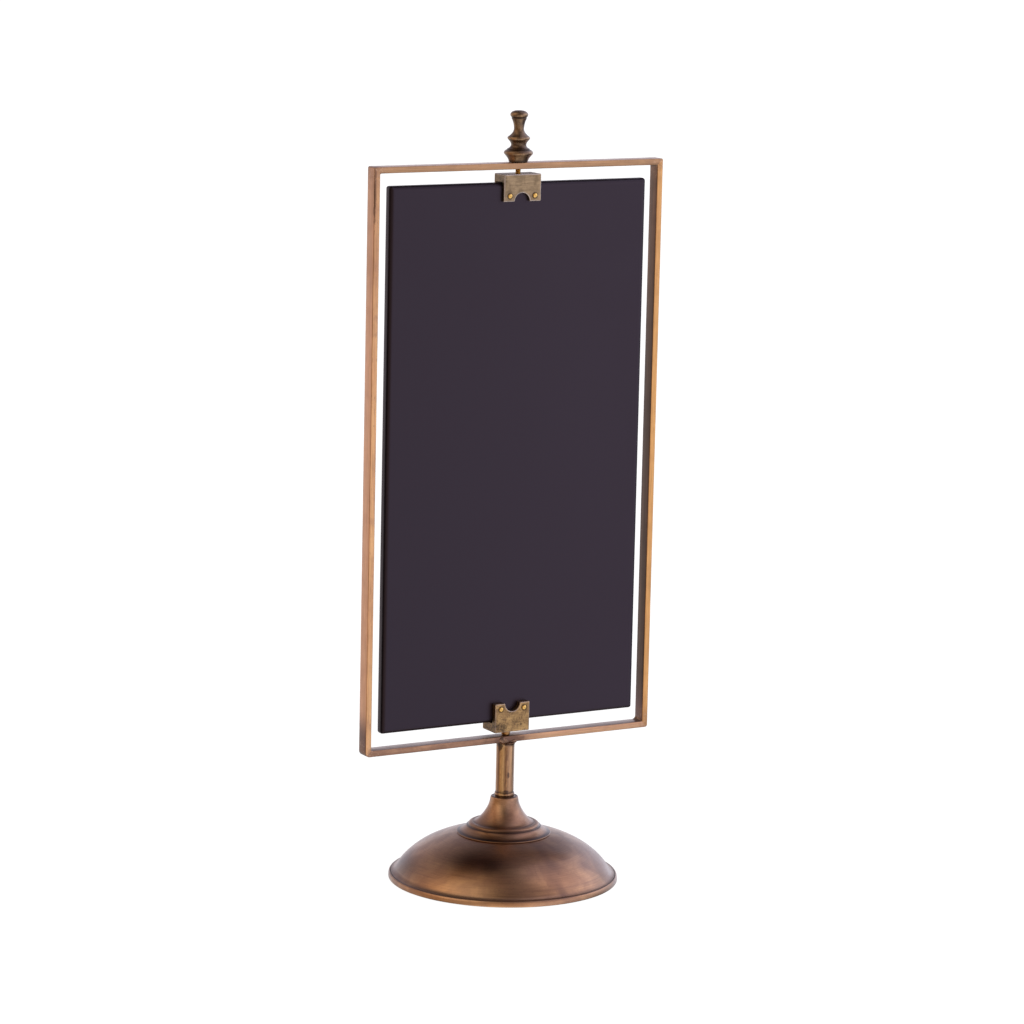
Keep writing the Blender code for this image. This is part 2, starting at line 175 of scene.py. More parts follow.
def bend(start, corner, end, steps=14):
    """Points of a smooth bend from start to end that leans towards corner; end is left out."""
    points = []
    for i in range(steps):
        t = i / steps
        weights = ((1 - t) ** 2, 2 * t * (1 - t), t * t)
        points.append(
            tuple(sum(w * p[k] for w, p in zip(weights, (start, corner, end))) for k in (0, 1))
        )
    return points


def line(start, end, steps):
    """Evenly spaced points from start to end; end is left out."""
    return [
        (start[0] + (end[0] - start[0]) * i / steps, start[1] + (end[1] - start[1]) * i / steps)
        for i in range(steps)
    ]


def direction(azimuth, elevation):
    """A unit vector; azimuth 0 is the -Y side and 90 the +X side, in degrees."""
    a = math.radians(azimuth)
    e = math.radians(elevation)
    return Vector((math.sin(a) * math.cos(e), -math.cos(a) * math.cos(e), math.sin(e)))


def outline_turns(outline, closed, reach):
    """How sharply the outline bends outwards (crest) and inwards (hollow) near each point."""
    count = len(outline)
    points = [Vector(p) for p in outline]
    turns = [0.0] * count
    for i in range(0 if closed else 1, count if closed else count - 1):
        before = points[i] - points[i - 1]
        after = points[(i + 1) % count] - points[i]
        if before.length > 0 and after.length > 0:
            turns[i] = math.atan2(before.cross(after), before.dot(after))
    crest = []
    hollow = []
    for point in points:
        up = 0.0
        down = 0.0
        for other, turn in zip(points, turns):
            weight = math.exp(-(((point - other).length / reach) ** 2))
            up += max(0.0, -turn) * weight
            down += max(0.0, turn) * weight
        crest.append(min(1.0, up))
        hollow.append(min(1.0, down))
    return crest, hollow


def turned(
    name,
    outline,
    material,
    steps=128,
    closed=False,
    ripple=0.0,
    ripple_size=20 * MM,
    reach=0.9 * MM,
    grime=(),
):
    """Turns (radius, height) points about Z. Its outer side runs from top to bottom.

    A closed outline makes a ring. ripple is how far hand work moves the surface, at most, and
    reach is how far wear and dirt spread from its bends.
    grime lists (radius, height, spread, amount) of the rings darkened by settled dirt, on the
    collar together with painted shade.
    """
    mesh = bpy.data.meshes.new(name)
    vertices = []
    faces = []
    rings = []
    crest_of = []
    hollow_of = []
    crest, hollow = outline_turns(outline, closed, reach)
    for i, (radius, height) in enumerate(outline):
        for ring_radius, ring_height, spread, amount in grime:
            away = math.hypot(radius - ring_radius, height - ring_height) / spread
            hollow[i] = min(1.0, hollow[i] + amount * math.exp(-(away**2)))
        first = len(vertices)
        if radius < 1e-7:
            vertices.append((0, 0, height))
            rings.append([first] * steps)
            crest_of.append(crest[i])
            hollow_of.append(hollow[i])
            continue
        for j in range(steps):
            angle = 2 * math.pi * j / steps
            place = Vector((radius * math.cos(angle), radius * math.sin(angle), height))
            out = ripple * noise.noise(place / ripple_size) if ripple else 0.0
            vertices.append(
                ((radius + out) * math.cos(angle), (radius + out) * math.sin(angle), height)
            )
            crest_of.append(crest[i])
            hollow_of.append(hollow[i])
        rings.append(list(range(first, first + steps)))
    pairs = list(zip(rings, rings[1:]))
    if closed:
        pairs.append((rings[-1], rings[0]))
    for above, below in pairs:
        for j in range(steps):
            k = (j + 1) % steps
            corners = []
            for vertex in (above[j], below[j], below[k], above[k]):
                if vertex not in corners:
                    corners.append(vertex)
            if len(corners) > 2:
                faces.append(corners)
    mesh.from_pydata(vertices, [], faces)
    smooth(mesh)
    store(mesh, "crest", crest_of)
    store(mesh, "hollow", hollow_of)
    return add_piece(name, mesh, material)


def lofted(name, vertices, count, material):
    """A skin over loops of count vertices each, closed at both ends."""
    faces = []
    for first in range(0, len(vertices) - count, count):
        for j in range(count):
            k = (j + 1) % count
            faces.append((first + j, first + k, first + count + k, first + count + j))
    faces.append(tuple(reversed(range(count))))
    faces.append(tuple(range(len(vertices) - count, len(vertices))))
    mesh = bpy.data.meshes.new(name)
    mesh.from_pydata(vertices, [], faces)
    shape = bmesh.new()
    shape.from_mesh(mesh)
    bmesh.ops.recalc_face_normals(shape, faces=shape.faces)
    shape.to_mesh(mesh)
    shape.free()
    return add_piece(name, mesh, material)


def tool(name, shape):
    """A mesh to cut or join with, removed when it has been used."""
    mesh = bpy.data.meshes.new(name)
    shape.to_mesh(mesh)
    shape.free()
    return add_piece(name, mesh, None)


def box_shape(low, high):
    shape = bmesh.new()
    size = [b - a for a, b in zip(low, high)]
    centre = [(b + a) / 2 for a, b in zip(low, high)]
    matrix = Matrix.Translation(centre) @ Matrix.Diagonal((*size, 1.0))
    bmesh.ops.create_cube(shape, size=1.0, matrix=matrix)
    return shape


def round_shape(centre, radius, length, along_y=False, sides=64):
    shape = bmesh.new()
    turn = Matrix.Rotation(math.pi / 2, 4, "X") if along_y else Matrix.Identity(4)
    bmesh.ops.create_cone(
        shape,
        cap_ends=True,
        segments=sides,
        radius1=radius,
        radius2=radius,
        depth=length,
        matrix=Matrix.Translation(centre) @ turn,
    )
    return shape


def combine(piece, operation, *tools):
    for other in tools:
        modifier = piece.modifiers.new(other.name, "BOOLEAN")
        modifier.operation = operation
        modifier.object = other
    settle(piece)
    for other in tools:
        bpy.data.objects.remove(other, do_unlink=True)


def settle(piece):
    """Applies the piece's modifiers."""
    depsgraph = bpy.context.evaluated_depsgraph_get()
    mesh = bpy.data.meshes.new_from_object(piece.evaluated_get(depsgraph))
    piece.modifiers.clear()
    piece.data = mesh


def remesh(piece, voxel, rounds):
    """Turns the piece into an even skin of small faces with slightly worn edges."""
    modifier = piece.modifiers.new("remesh", "REMESH")
    modifier.mode = "VOXEL"
    modifier.voxel_size = voxel
    modifier.use_smooth_shade = True
    relax = piece.modifiers.new("relax", "SMOOTH")
    relax.factor = 0.5
    relax.iterations = rounds
    settle(piece)


# ---------------------------------------------------------------- finishes


class Finish:
    """A material's node graph, with short names for the nodes that the finishes share."""

    def __init__(self, name, metallic, coat=0.0, coat_roughness=0.2):
        self.material = bpy.data.materials.new(name)
        self.material.use_nodes = True
        self.nodes = self.material.node_tree.nodes
        self.links = self.material.node_tree.links
        self.shader = self.nodes["Principled BSDF"]
        self.shader.inputs["Metallic"].default_value = metallic
        self.shader.inputs["Coat Weight"].default_value = coat
        self.shader.inputs["Coat Roughness"].default_value = coat_roughness
        coordinates = self.nodes.new("ShaderNodeTexCoord")
        self.place = coordinates.outputs["Object"]
        self.normal = coordinates.outputs["Normal"]

    def feed(self, socket, value):
        if isinstance(value, bpy.types.NodeSocket):
            self.links.new(value, socket)
        elif isinstance(value, tuple) and len(value) == 3 and socket.type == "RGBA":
            socket.default_value = (*value, 1.0)
        else:
            socket.default_value = value

    def math(self, operation, *values, clamp=False):
        node = self.nodes.new("ShaderNodeMath")
        node.operation = operation
        node.use_clamp = clamp
        for socket, value in zip(node.inputs, values):
            self.feed(socket, value)
        return node.outputs[0]

    def vector(self, operation, a, b=(0.0, 0.0, 0.0)):
        node = self.nodes.new("ShaderNodeVectorMath")
        node.operation = operation
        self.feed(node.inputs[0], a)
        self.feed(node.inputs[1], b)
        return node.outputs["Value" if operation in ("LENGTH", "DOT_PRODUCT") else "Vector"]

    def parts(self, vector):
        node = self.nodes.new("ShaderNodeSeparateXYZ")
        self.feed(node.inputs[0], vector)
        return node.outputs

    def join(self, x, y, z):
        node = self.nodes.new("ShaderNodeCombineXYZ")
        for socket, value in zip(node.inputs, (x, y, z)):
            self.feed(socket, value)
        return node.outputs[0]

    def noise(self, vector, size, detail=3.0, rough=0.55, warp=0.0):
        """Noise from 0 to 1 whose features are about size across."""
        node = self.nodes.new("ShaderNodeTexNoise")
        self.feed(node.inputs["Vector"], vector)
        node.inputs["Scale"].default_value = 1 / size
        node.inputs["Detail"].default_value = detail
        node.inputs["Roughness"].default_value = rough
        node.inputs["Distortion"].default_value = warp
        return node.outputs[0]

    def span(self, value, low, high, start=0.0, end=1.0):
        """Turns the range low to high into start to end, with soft ends."""
        node = self.nodes.new("ShaderNodeMapRange")
        node.interpolation_type = "SMOOTHSTEP"
        self.feed(node.inputs["Value"], value)
        node.inputs["From Min"].default_value = low
        node.inputs["From Max"].default_value = high
        node.inputs["To Min"].default_value = start
        node.inputs["To Max"].default_value = end
        return node.outputs[0]

    def blend(self, a, b, factor, mode="MIX"):
        node = self.nodes.new("ShaderNodeMix")
        node.data_type = "RGBA"
        node.blend_type = mode
        self.feed(node.inputs[0], factor)
        self.feed(node.inputs[6], a)
        self.feed(node.inputs[7], b)
        return node.outputs[2]

    def tone(self, colour, value, low, high):
        """Darkens or lightens the colour between these factors as the value goes 0.3 to 0.7."""
        factor = self.span(value, 0.3, 0.7, low, high)
        return self.blend(colour, self.join(factor, factor, factor), 1.0, "MULTIPLY")

    def stretch(self, x=1.0, y=1.0, z=1.0):
        """Coordinates in which a noise is drawn out along the axes whose factor is small."""
        return self.vector("MULTIPLY", self.place, (x, y, z))

    def patch(self, centre, size, ragged=None, azimuth=0, core=0.45):
        """1 in the middle of an ellipsoid, 0 outside it; ragged noise frays its border.

        Its sizes run sideways, towards the azimuth, and up, and it fades beyond its core.
        """
        away = self.vector("SUBTRACT", self.place, centre)
        sideways = self.vector("DOT_PRODUCT", away, tuple(direction(azimuth + 90, 0)))
        towards = self.vector("DOT_PRODUCT", away, tuple(direction(azimuth, 0)))
        away = self.join(sideways, towards, self.parts(away)[2])
        distance = self.vector("LENGTH", self.vector("DIVIDE", away, size))
        if ragged:
            distance = self.math("ADD", distance, self.span(ragged, 0.3, 0.7, -0.35, 0.35))
        return self.span(distance, core, 1.0, 1.0, 0.0)

    def facing(self, azimuth, width):
        """1 where a surface round the Z axis faces this azimuth, 0 from width degrees off it."""
        x, y, _ = self.parts(self.place)
        flat = self.vector("NORMALIZE", self.join(x, y, 0.0))
        dot = self.vector("DOT_PRODUCT", flat, tuple(direction(azimuth, 0)))
        return self.span(dot, math.cos(math.radians(width)), 1.0)

    def attribute(self, name):
        node = self.nodes.new("ShaderNodeAttribute")
        node.attribute_name = name
        return node.outputs["Fac"]

    def bump(self, height, distance, under=None):
        """Raises the surface by up to distance where height is 1."""
        node = self.nodes.new("ShaderNodeBump")
        node.inputs["Distance"].default_value = distance
        self.feed(node.inputs["Height"], height)
        if under:
            self.feed(node.inputs["Normal"], under)
        return node.outputs[0]

    def finish(self, colour, roughness, normal=None):
        self.feed(self.shader.inputs["Base Color"], colour)
        self.feed(self.shader.inputs["Roughness"], roughness)
        if normal:
            self.feed(self.shader.inputs["Normal"], normal)
        return self.material


def bar_brass(name, along):
    """Antique brass of the frame's bars, drawn along one axis: 0 for X and 2 for Z."""
    f = Finish(name, 1.0, coat=0.3, coat_roughness=0.3)
    x, y, z = f.parts(f.place)
    nx, ny, nz = f.parts(f.normal)
    drawn = [1.0, 1.0, 1.0]
    drawn[along] = 0.03
    fleck_shape = [1.0, 1.0, 1.0]
    fleck_shape[along] = 0.2
    streaks = f.noise(f.stretch(*drawn), 0.9 * MM, 4.0, 0.65)
    lines = f.noise(f.stretch(*drawn), 2.6 * MM, 2.0)
    flecks = f.noise(f.stretch(*fleck_shape), 1.3 * MM, 3.0, 0.7, 0.3)
    mottle = f.noise(f.place, 16 * MM, 5.0, 0.62, 0.6)
    speckle = f.noise(f.place, 1.4 * MM, 3.0, 0.7)

    colour = f.blend((0.78, 0.455, 0.205), (0.68, 0.365, 0.175), f.span(lines, 0.38, 0.62))
    colour = f.blend(colour, (0.55, 0.30, 0.17), f.span(mottle, 0.48, 0.70, 0.0, 0.6))
    colour = f.blend(colour, (0.30, 0.155, 0.085), f.span(flecks, 0.58, 0.70, 0.0, 0.6))
    colour = f.blend(colour, (0.52, 0.26, 0.13), f.math("MULTIPLY", f.attribute("crest"), 0.55))

    side = f.span(f.math("ABSOLUTE", ny), 0.45, 0.75, 1.0, 0.0)
    colour = f.blend(colour, (0.68, 0.37, 0.235), f.math("MULTIPLY", side, 0.7))
    outward = f.math(
        "ADD",
        f.math("MULTIPLY", nx, x),
        f.math("MULTIPLY", nz, f.math("SUBTRACT", z, FRAME_MIDDLE)),
    )
    inner = f.math("MULTIPLY", side, f.span(outward, -0.03, 0.03, 1.0, 0.0))
    # Painted shade: the faces that look into the frame are made nearly black.
    inner_shade_colour = f.blend((0.060, 0.037, 0.027), (0.11, 0.060, 0.040), f.span(lines, 0.45, 0.7))
    colour = f.blend(colour, inner_shade_colour, f.math("MULTIPLY", inner, 0.97))
    foot = f.span(z, FRAME_BOTTOM + 14 * MM, FRAME_BOTTOM + 44 * MM, 1.0, 0.0)
    foot = f.math("MULTIPLY", side, f.math("MULTIPLY", foot, 0.95))
    colour = f.blend(colour, (0.14, 0.078, 0.07), foot)

    if along == 0:
        colour = rail_patina(f, colour, x, z, nz, mottle)
    else:
        colour = stile_patina(f, colour, x, z, inner, flecks)
    colour = corner_patina(f, colour, x, z, mottle, speckle)
    colour = f.tone(colour, streaks, 0.78, 1.12)

    grain = f.span(streaks, 0.3, 0.7, 0.0, 0.06)
    roughness = f.math("ADD", f.span(mottle, 0.3, 0.7, 0.28, 0.38), grain)
    normal = f.bump(streaks, 0.014 * MM)
    normal = f.bump(speckle, 0.018 * MM, normal)
    return f.finish(colour, roughness, normal)


def rail_patina(f, colour, x, z, nz, mottle):
    """The rails are browner than the stiles, with a painted paler reflection on their upward faces,
    and brown at the pole's joint.
    """
    upper = f.span(z, FRAME_MIDDLE - MM, FRAME_MIDDLE + MM)
    colour = f.blend(colour, (0.42, 0.247, 0.131), f.math("MULTIPLY", upper, 0.85))
    lower = f.math("SUBTRACT", 1.0, upper)
    colour = f.blend(colour, (0.56, 0.33, 0.21), f.math("MULTIPLY", lower, 0.6))
    left = f.math("MULTIPLY", f.span(x, 0.0, 40 * MM, 1.0, 0.0), f.span(mottle, 0.3, 0.6, 0.6, 1.0))
    left = f.math("MULTIPLY", lower, f.math("MULTIPLY", left, 0.9))
    colour = f.blend(colour, (0.30, 0.165, 0.105), left)
    # Painted reflection: the upward faces are paler and greyer.
    lit_top_colour = f.blend((0.62, 0.49, 0.40), (0.95, 0.72, 0.57), upper)
    colour = f.blend(colour, lit_top_colour, f.span(nz, 0.6, 0.9))
    joint = f.patch((-6 * MM, -BAR_DEPTH / 2, FRAME_BOTTOM), (24 * MM, 30 * MM, 12 * MM), mottle)
    return f.blend(colour, (0.15, 0.080, 0.055), f.math("MULTIPLY", joint, 0.85))


def stile_patina(f, colour, x, z, inner, flecks):
    """The right stile is more golden, the left one is darker at the top and along its edge."""
    golden = f.math("MULTIPLY", f.span(x, -MM, MM, 0.0, 0.7), f.math("SUBTRACT", 1.0, inner))
    colour = f.blend(colour, (0.74, 0.385, 0.115), golden)
    high = f.span(z, FRAME_TOP - 190 * MM, FRAME_TOP - 60 * MM)
    left = f.span(x, -MM, MM, 0.45, 0.15)
    colour = f.blend(colour, (0.42, 0.225, 0.13), f.math("MULTIPLY", high, left))
    edge = Vector((-FRAME_HALF_WIDTH + 0.6 * MM, -BAR_DEPTH / 2, FRAME_TOP - 22 * MM))
    line = f.patch(edge, (1.6 * MM, 1.8 * MM, 34 * MM), flecks)
    return f.blend(colour, (0.10, 0.055, 0.035), f.math("MULTIPLY", line, 0.75))


def corner_patina(f, colour, x, z, mottle, speckle):
    """Heat stains and pale grains round the brazed corners."""
    from_side = f.math("SUBTRACT", FRAME_HALF_WIDTH, f.math("ABSOLUTE", x))
    from_end = f.math(
        "SUBTRACT", FRAME_HALF_HEIGHT, f.math("ABSOLUTE", f.math("SUBTRACT", z, FRAME_MIDDLE))
    )
    corner = f.vector("LENGTH", f.join(from_side, 0.0, from_end))
    near = f.span(corner, 3 * MM, 24 * MM, 1.0, 0.0)
    heat = f.math("MULTIPLY", near, f.span(mottle, 0.35, 0.6, 0.0, 0.6))
    colour = f.blend(colour, (0.32, 0.175, 0.105), heat)
    grains = f.math("MULTIPLY", near, f.span(speckle, 0.56, 0.66, 0.0, 0.5))
    return f.blend(colour, (0.80, 0.56, 0.38), grains)


def turned_brass(name, light, mid, dark, rough=0.32, coat=0.5, blotch=24 * MM, worn=0.25, painted_light=()):
    """Darkened brass of a turned or spun piece, with fine marks that run round the axis.

    Painted light patches are (azimuth, centre, size, factors) of places whose colour is multiplied
    to paint highlights, reflections and shade.
    """
    f = Finish(name, 1.0, coat=coat, coat_roughness=0.22)
    x, y, z = f.parts(f.place)
    radius = f.vector("LENGTH", f.join(x, y, 0.0))
    around = f.join(radius, f.math("MULTIPLY", f.math("ARCTAN2", y, x), 0.002), z)
    lathe = f.noise(around, 0.55 * MM, 4.0, 0.65)
    bands = f.noise(around, 3.5 * MM, 2.0)
    mottle = f.noise(f.place, blotch, 5.0, 0.6, 0.8)
    cloud = f.noise(f.place, 2.2 * blotch, 2.0, 0.5, 0.4)
    speckle = f.noise(f.place, 1.6 * MM, 3.0, 0.65)

    colour = f.blend(light, mid, f.span(mottle, 0.32, 0.62))
    colour = f.blend(colour, dark, f.span(cloud, 0.52, 0.72, 0.0, 0.8))
    colour = f.blend(colour, dark, f.span(bands, 0.55, 0.80, 0.0, 0.35))
    colour = f.blend(colour, dark, f.span(speckle, 0.56, 0.72, 0.0, 0.35))
    # Painted highlights, reflections and shade, multiplied into the colour.
    for azimuth, centre, size, factors in painted_light:
        light_patch = f.patch(centre, size, None, azimuth, core=0.0)
        colour = f.blend(colour, factors, light_patch, "MULTIPLY")
    colour = f.tone(colour, lathe, 0.88, 1.10)
    # Worn edges, painted paler as edge highlights too.
    pale = tuple(min(1.0, 1.5 * level) for level in light)
    colour = f.blend(colour, pale, f.math("MULTIPLY", f.attribute("crest"), worn))
    deep = (dark[0] * 0.25, dark[1] * 0.20, dark[2] * 0.20)
    colour = f.blend(colour, deep, f.math("MULTIPLY", f.attribute("hollow"), 0.9))

    grain = f.span(lathe, 0.3, 0.7, 0.0, 0.05)
    roughness = f.math("ADD", f.span(mottle, 0.3, 0.7, rough - 0.04, rough + 0.06), grain)
    normal = f.bump(lathe, 0.012 * MM)
    normal = f.bump(speckle, 0.012 * MM, normal)
    return f.finish(colour, roughness, normal)


def pole_brass():
    """The pole's brass: a painted golden highlight, painted darker reflections beside it, and
    scorched places.
    """
    f = Finish("pole_brass", 1.0, coat=0.3, coat_roughness=0.25)
    streaks = f.noise(f.stretch(z=0.10), 4.0 * MM, 3.0, 0.55, 0.3)
    fine = f.noise(f.stretch(z=0.04), 0.8 * MM, 3.0, 0.6)
    frayed = f.noise(f.stretch(z=0.4), 2.2 * MM, 3.0, 0.6)
    colour = f.blend((0.58, 0.34, 0.17), (0.36, 0.20, 0.115), f.span(streaks, 0.36, 0.62))
    # Painted highlight: a golden streak on the side that faces the left front.
    golden = f.math("MULTIPLY", f.facing(-50, 26), f.span(frayed, 0.3, 0.55, 0.5, 1.0))
    colour = f.blend(colour, (0.92, 0.62, 0.32), golden)
    # Painted shade: darker reflections on the sides that face these azimuths.
    for azimuth, width, strength in ((-74, 12, 0.6), (-20, 24, 0.72), (24, 10, 0.4)):
        shade = f.math("MULTIPLY", f.facing(azimuth, width), f.span(frayed, 0.3, 0.6, 0.4, 1.0))
        colour = f.blend(colour, (0.15, 0.082, 0.055), f.math("MULTIPLY", shade, strength))
    for azimuth, height, wide, tall in (
        (-7, 94.7 * MM, 1.5 * MM, 3.4 * MM),
        (-20, 79.7 * MM, 4.0 * MM, 1.5 * MM),
        (-64, POLE_TOP - 3 * MM, 4.0 * MM, 5.5 * MM),
        (-10, POLE_TOP - 1.5 * MM, 5.0 * MM, 1.6 * MM),
    ):
        centre = direction(azimuth, 0) * POLE_RADIUS + Vector((0, 0, height))
        stain = f.patch(centre, (wide, wide, tall), frayed)
        colour = f.blend(colour, (0.055, 0.032, 0.03), f.math("MULTIPLY", stain, 0.8))
    colour = f.blend(colour, (0.04, 0.022, 0.018), f.math("MULTIPLY", f.attribute("hollow"), 0.75))
    colour = f.tone(colour, fine, 0.84, 1.12)
    normal = f.bump(fine, 0.012 * MM)
    normal = f.bump(streaks, 0.05 * MM, normal)
    return f.finish(colour, f.span(streaks, 0.3, 0.7, 0.26, 0.36), normal)


def clamp_brass(name, light, mid, dark, pits, patches, edges=0.95, stains=()):
    """Cast brass of a clamp, filed across. pits, patches and worn edges, painted pale as a
    highlight, go from 0 to 1.

    stains are (centre, size, strength) of the places where it is darkened and scratched.
    """
    f = Finish(name, 1.0, coat=0.25, coat_roughness=0.3)
    filed = f.noise(f.stretch(x=0.06), 0.7 * MM, 3.0, 0.6)
    mottle = f.noise(f.place, 7 * MM, 5.0, 0.65, 0.5)
    patch = f.noise(f.place, 10 * MM, 3.0, 0.55, 1.2)
    pit = f.noise(f.place, 1.3 * MM, 2.0, 0.6, 0.5)
    colour = f.blend(light, mid, f.span(mottle, 0.35, 0.65))
    colour = f.blend(colour, dark, f.span(patch, 0.52, 0.68, 0.0, 0.8 * patches))
    colour = f.blend(colour, dark, f.span(pit, 0.58, 0.70, 0.0, 0.7 * pits))
    strokes = f.noise(f.stretch(x=1.4, z=0.8), 4.5 * MM, 2.0, 0.5, 1.0)
    scratch = f.span(f.math("ABSOLUTE", f.math("SUBTRACT", strokes, 0.5)), 0.006, 0.022, 1.0, 0.0)
    for centre, size, strength in stains:
        stain = f.math("MULTIPLY", f.patch(centre, size, mottle), f.span(pit, 0.35, 0.6, 0.3, 1.0))
        stain = f.math("MULTIPLY", stain, strength)
        cut = f.math("MULTIPLY", f.patch(centre, tuple(1.5 * side for side in size)), scratch)
        stain = f.math("MAXIMUM", stain, f.math("MULTIPLY", cut, 0.85))
        colour = f.blend(colour, tuple(0.6 * level for level in dark), stain)
    colour = f.tone(colour, filed, 0.82, 1.14)
    # Worn edges, painted pale lavender as a highlight too.
    worn = f.math("MULTIPLY", f.attribute("crest"), f.span(mottle, 0.35, 0.55, 0.45, 1.0))
    colour = f.blend(colour, (0.80, 0.74, 0.72), f.math("MULTIPLY", worn, edges))
    # Painted shade round the rivet heads, where the hollow attribute is set.
    colour = f.blend(colour, (0.03, 0.02, 0.014), f.math("MULTIPLY", f.attribute("hollow"), 0.85))
    normal = f.bump(filed, 0.02 * MM)
    normal = f.bump(f.span(pit, 0.58, 0.72, 1.0, 0.0), 0.10 * MM * pits + 0.01 * MM, normal)
    return f.finish(colour, f.span(mottle, 0.3, 0.7, 0.36, 0.50), normal)


def bright_brass():
    """Polished brass of pins and rivets, dark in its grooves."""
    f = Finish("bright_brass", 1.0)
    scratches = f.noise(f.place, 0.5 * MM, 3.0, 0.6)
    colour = f.blend((1.0, 0.69, 0.22), (0.92, 0.55, 0.15), f.span(scratches, 0.4, 0.65))
    colour = f.blend(colour, (0.30, 0.14, 0.04), f.math("MULTIPLY", f.attribute("hollow"), 0.25))
    return f.finish(colour, f.span(scratches, 0.3, 0.7, 0.20, 0.32), f.bump(scratches, 0.008 * MM))


def board_black():
    """Satin black lacquer with a violet cast, a faint orange peel, a few rubbed patches and a
    painted sheen towards +X.
    """
    f = Finish("board_black", 0.0)
    f.shader.inputs["IOR"].default_value = 1.5
    f.shader.inputs["Specular Tint"].default_value = (0.98, 0.78, 1.0, 1.0)
    x, _, z = f.parts(f.place)
    peel = f.noise(f.place, 1.4 * MM, 3.0, 0.5)
    rubbed = f.noise(f.place, 90 * MM, 3.0, 0.5, 0.4)
    dust = f.noise(f.place, 0.5 * MM, 1.0)
    colour = f.blend((0.0035, 0.0022, 0.0045), (0.0060, 0.0042, 0.0075), f.span(rubbed, 0.35, 0.65))
    # Painted sheen: the lacquer grows lighter towards +X.
    right_sheen = f.span(x, BOARD_LOW.x, BOARD_HIGH.x)
    colour = f.blend(colour, (0.0125, 0.0088, 0.0150), f.math("MULTIPLY", right_sheen, 0.7))
    colour = f.blend(colour, (0.03, 0.027, 0.032), f.span(dust, 0.72, 0.80, 0.0, 0.2))
    sheen = f.span(peel, 0.3, 0.7, 0.0, 0.03)
    roughness = f.math("ADD", f.span(rubbed, 0.3, 0.7, 0.34, 0.40), sheen)
    return f.finish(colour, roughness, f.bump(peel, 0.012 * MM))


def plain_metal(name, light, dark, metallic, low, high, grain, depth):
    """A metal with a fine grain: turned steel or rough cast iron."""
    f = Finish(name, metallic)
    fine = f.noise(f.place, grain, 4.0, 0.6)
    cloud = f.noise(f.place, 14 * MM, 3.0)
    colour = f.blend(light, dark, f.span(cloud, 0.35, 0.65))
    return f.finish(colour, f.span(fine, 0.3, 0.7, low, high), f.bump(fine, depth))


def felt():
    f = Finish("felt", 0.0)
    f.shader.inputs["Sheen Weight"].default_value = 0.4
    f.shader.inputs["Sheen Roughness"].default_value = 0.5
    fibres = f.noise(f.place, 0.5 * MM, 5.0, 0.75, 2.0)
    tufts = f.noise(f.place, 5 * MM, 3.0)
    colour = f.blend((0.022, 0.035, 0.022), (0.045, 0.065, 0.042), fibres)
    colour = f.blend(colour, (0.018, 0.026, 0.018), f.span(tufts, 0.45, 0.7, 0.0, 0.6))
    return f.finish(colour, f.span(fibres, 0.3, 0.7, 0.85, 0.98), f.bump(fibres, 0.15 * MM))


# ---------------------------------------------------------------- frame


def mitre(half_length, half_across, corner):
    """Outer and inner points of a bar's right end, from the mitre inwards round its corner."""
    steps = 6
    inside = half_length - BAR_THICKNESS - FRAME_INSIDE_CORNER
    stations = []
    for i in range(steps + 1):
        angle = math.radians(45 * (1 - i / steps))
        outer = (
            half_length - corner * (1 - math.sin(angle)),
            half_across - corner * (1 - math.cos(angle)),
        )
        inner = (
            inside + FRAME_INSIDE_CORNER * math.sin(angle),
            half_across - BAR_THICKNESS - FRAME_INSIDE_CORNER * (1 - math.cos(angle)),
        )
        stations.append((outer, inner))
    return stations


def frame_bar(name, half_length, half_across, turn, corners, material):
    """A bar with worn edges, mitred at both ends along the frame's rounded corners.

    It is made along X with its outer side up, then turned about Y to its side of the frame.
    """
    left, right = (mitre(half_length, half_across, FRAME_CORNERS[corner]) for corner in corners)
    left_end = [((-a, b), (-c, d)) for (a, b), (c, d) in left]
    right_end = list(reversed(right))
    inside = half_length - BAR_THICKNESS - FRAME_INSIDE_CORNER
    length = 2 * inside
    middle = []
    pieces = round(length / (3.5 * MM))
    for i in range(1, pieces):
        along = -inside + length * i / pieces
        middle.append(((along, half_across), (along, half_across - BAR_THICKNESS)))
    stations = left_end + middle + right_end

    half_depth = BAR_DEPTH / 2
    section = []
    for corner_y, corner_t, start in ((1, 1, 0), (-1, 1, 90), (-1, -1, 180), (1, -1, 270)):
        for i in range(5):
            angle = math.radians(start + 90 * i / 4)
            edge = 1 - abs(i - 2) / 2
            section.append((corner_y, corner_t, math.cos(angle), math.sin(angle), edge))
    turn_matrix = Matrix.Rotation(turn, 3, "Y")
    vertices = []
    edges = []
    for outer, inner in stations:
        outer = Vector((outer[0], 0, outer[1]))
        inner = Vector((inner[0], 0, inner[1]))
        up = (outer - inner).normalized()
        centre = (outer + inner) / 2
        half_thick = (outer - inner).length / 2
        for side_y, side_t, cos_a, sin_a, edge in section:
            flat = Vector((0, side_y * (half_depth - BAR_EDGE) + cos_a * BAR_EDGE, 0))
            flat += up * (side_t * (half_thick - BAR_EDGE) + sin_a * BAR_EDGE)
            point = turn_matrix @ (centre + flat)
            wave = 0.05 * noise.noise(point / (9 * MM)) + 0.03 * noise.noise(point / (2.5 * MM))
            out = turn_matrix @ (Vector((0, cos_a, 0)) + up * sin_a)
            point += out * wave * MM + Vector((0, 0, FRAME_MIDDLE))
            vertices.append(point)
            edges.append(edge)
    bar = lofted(name, vertices, len(section), material)
    store(bar.data, "crest", edges)
    return bar


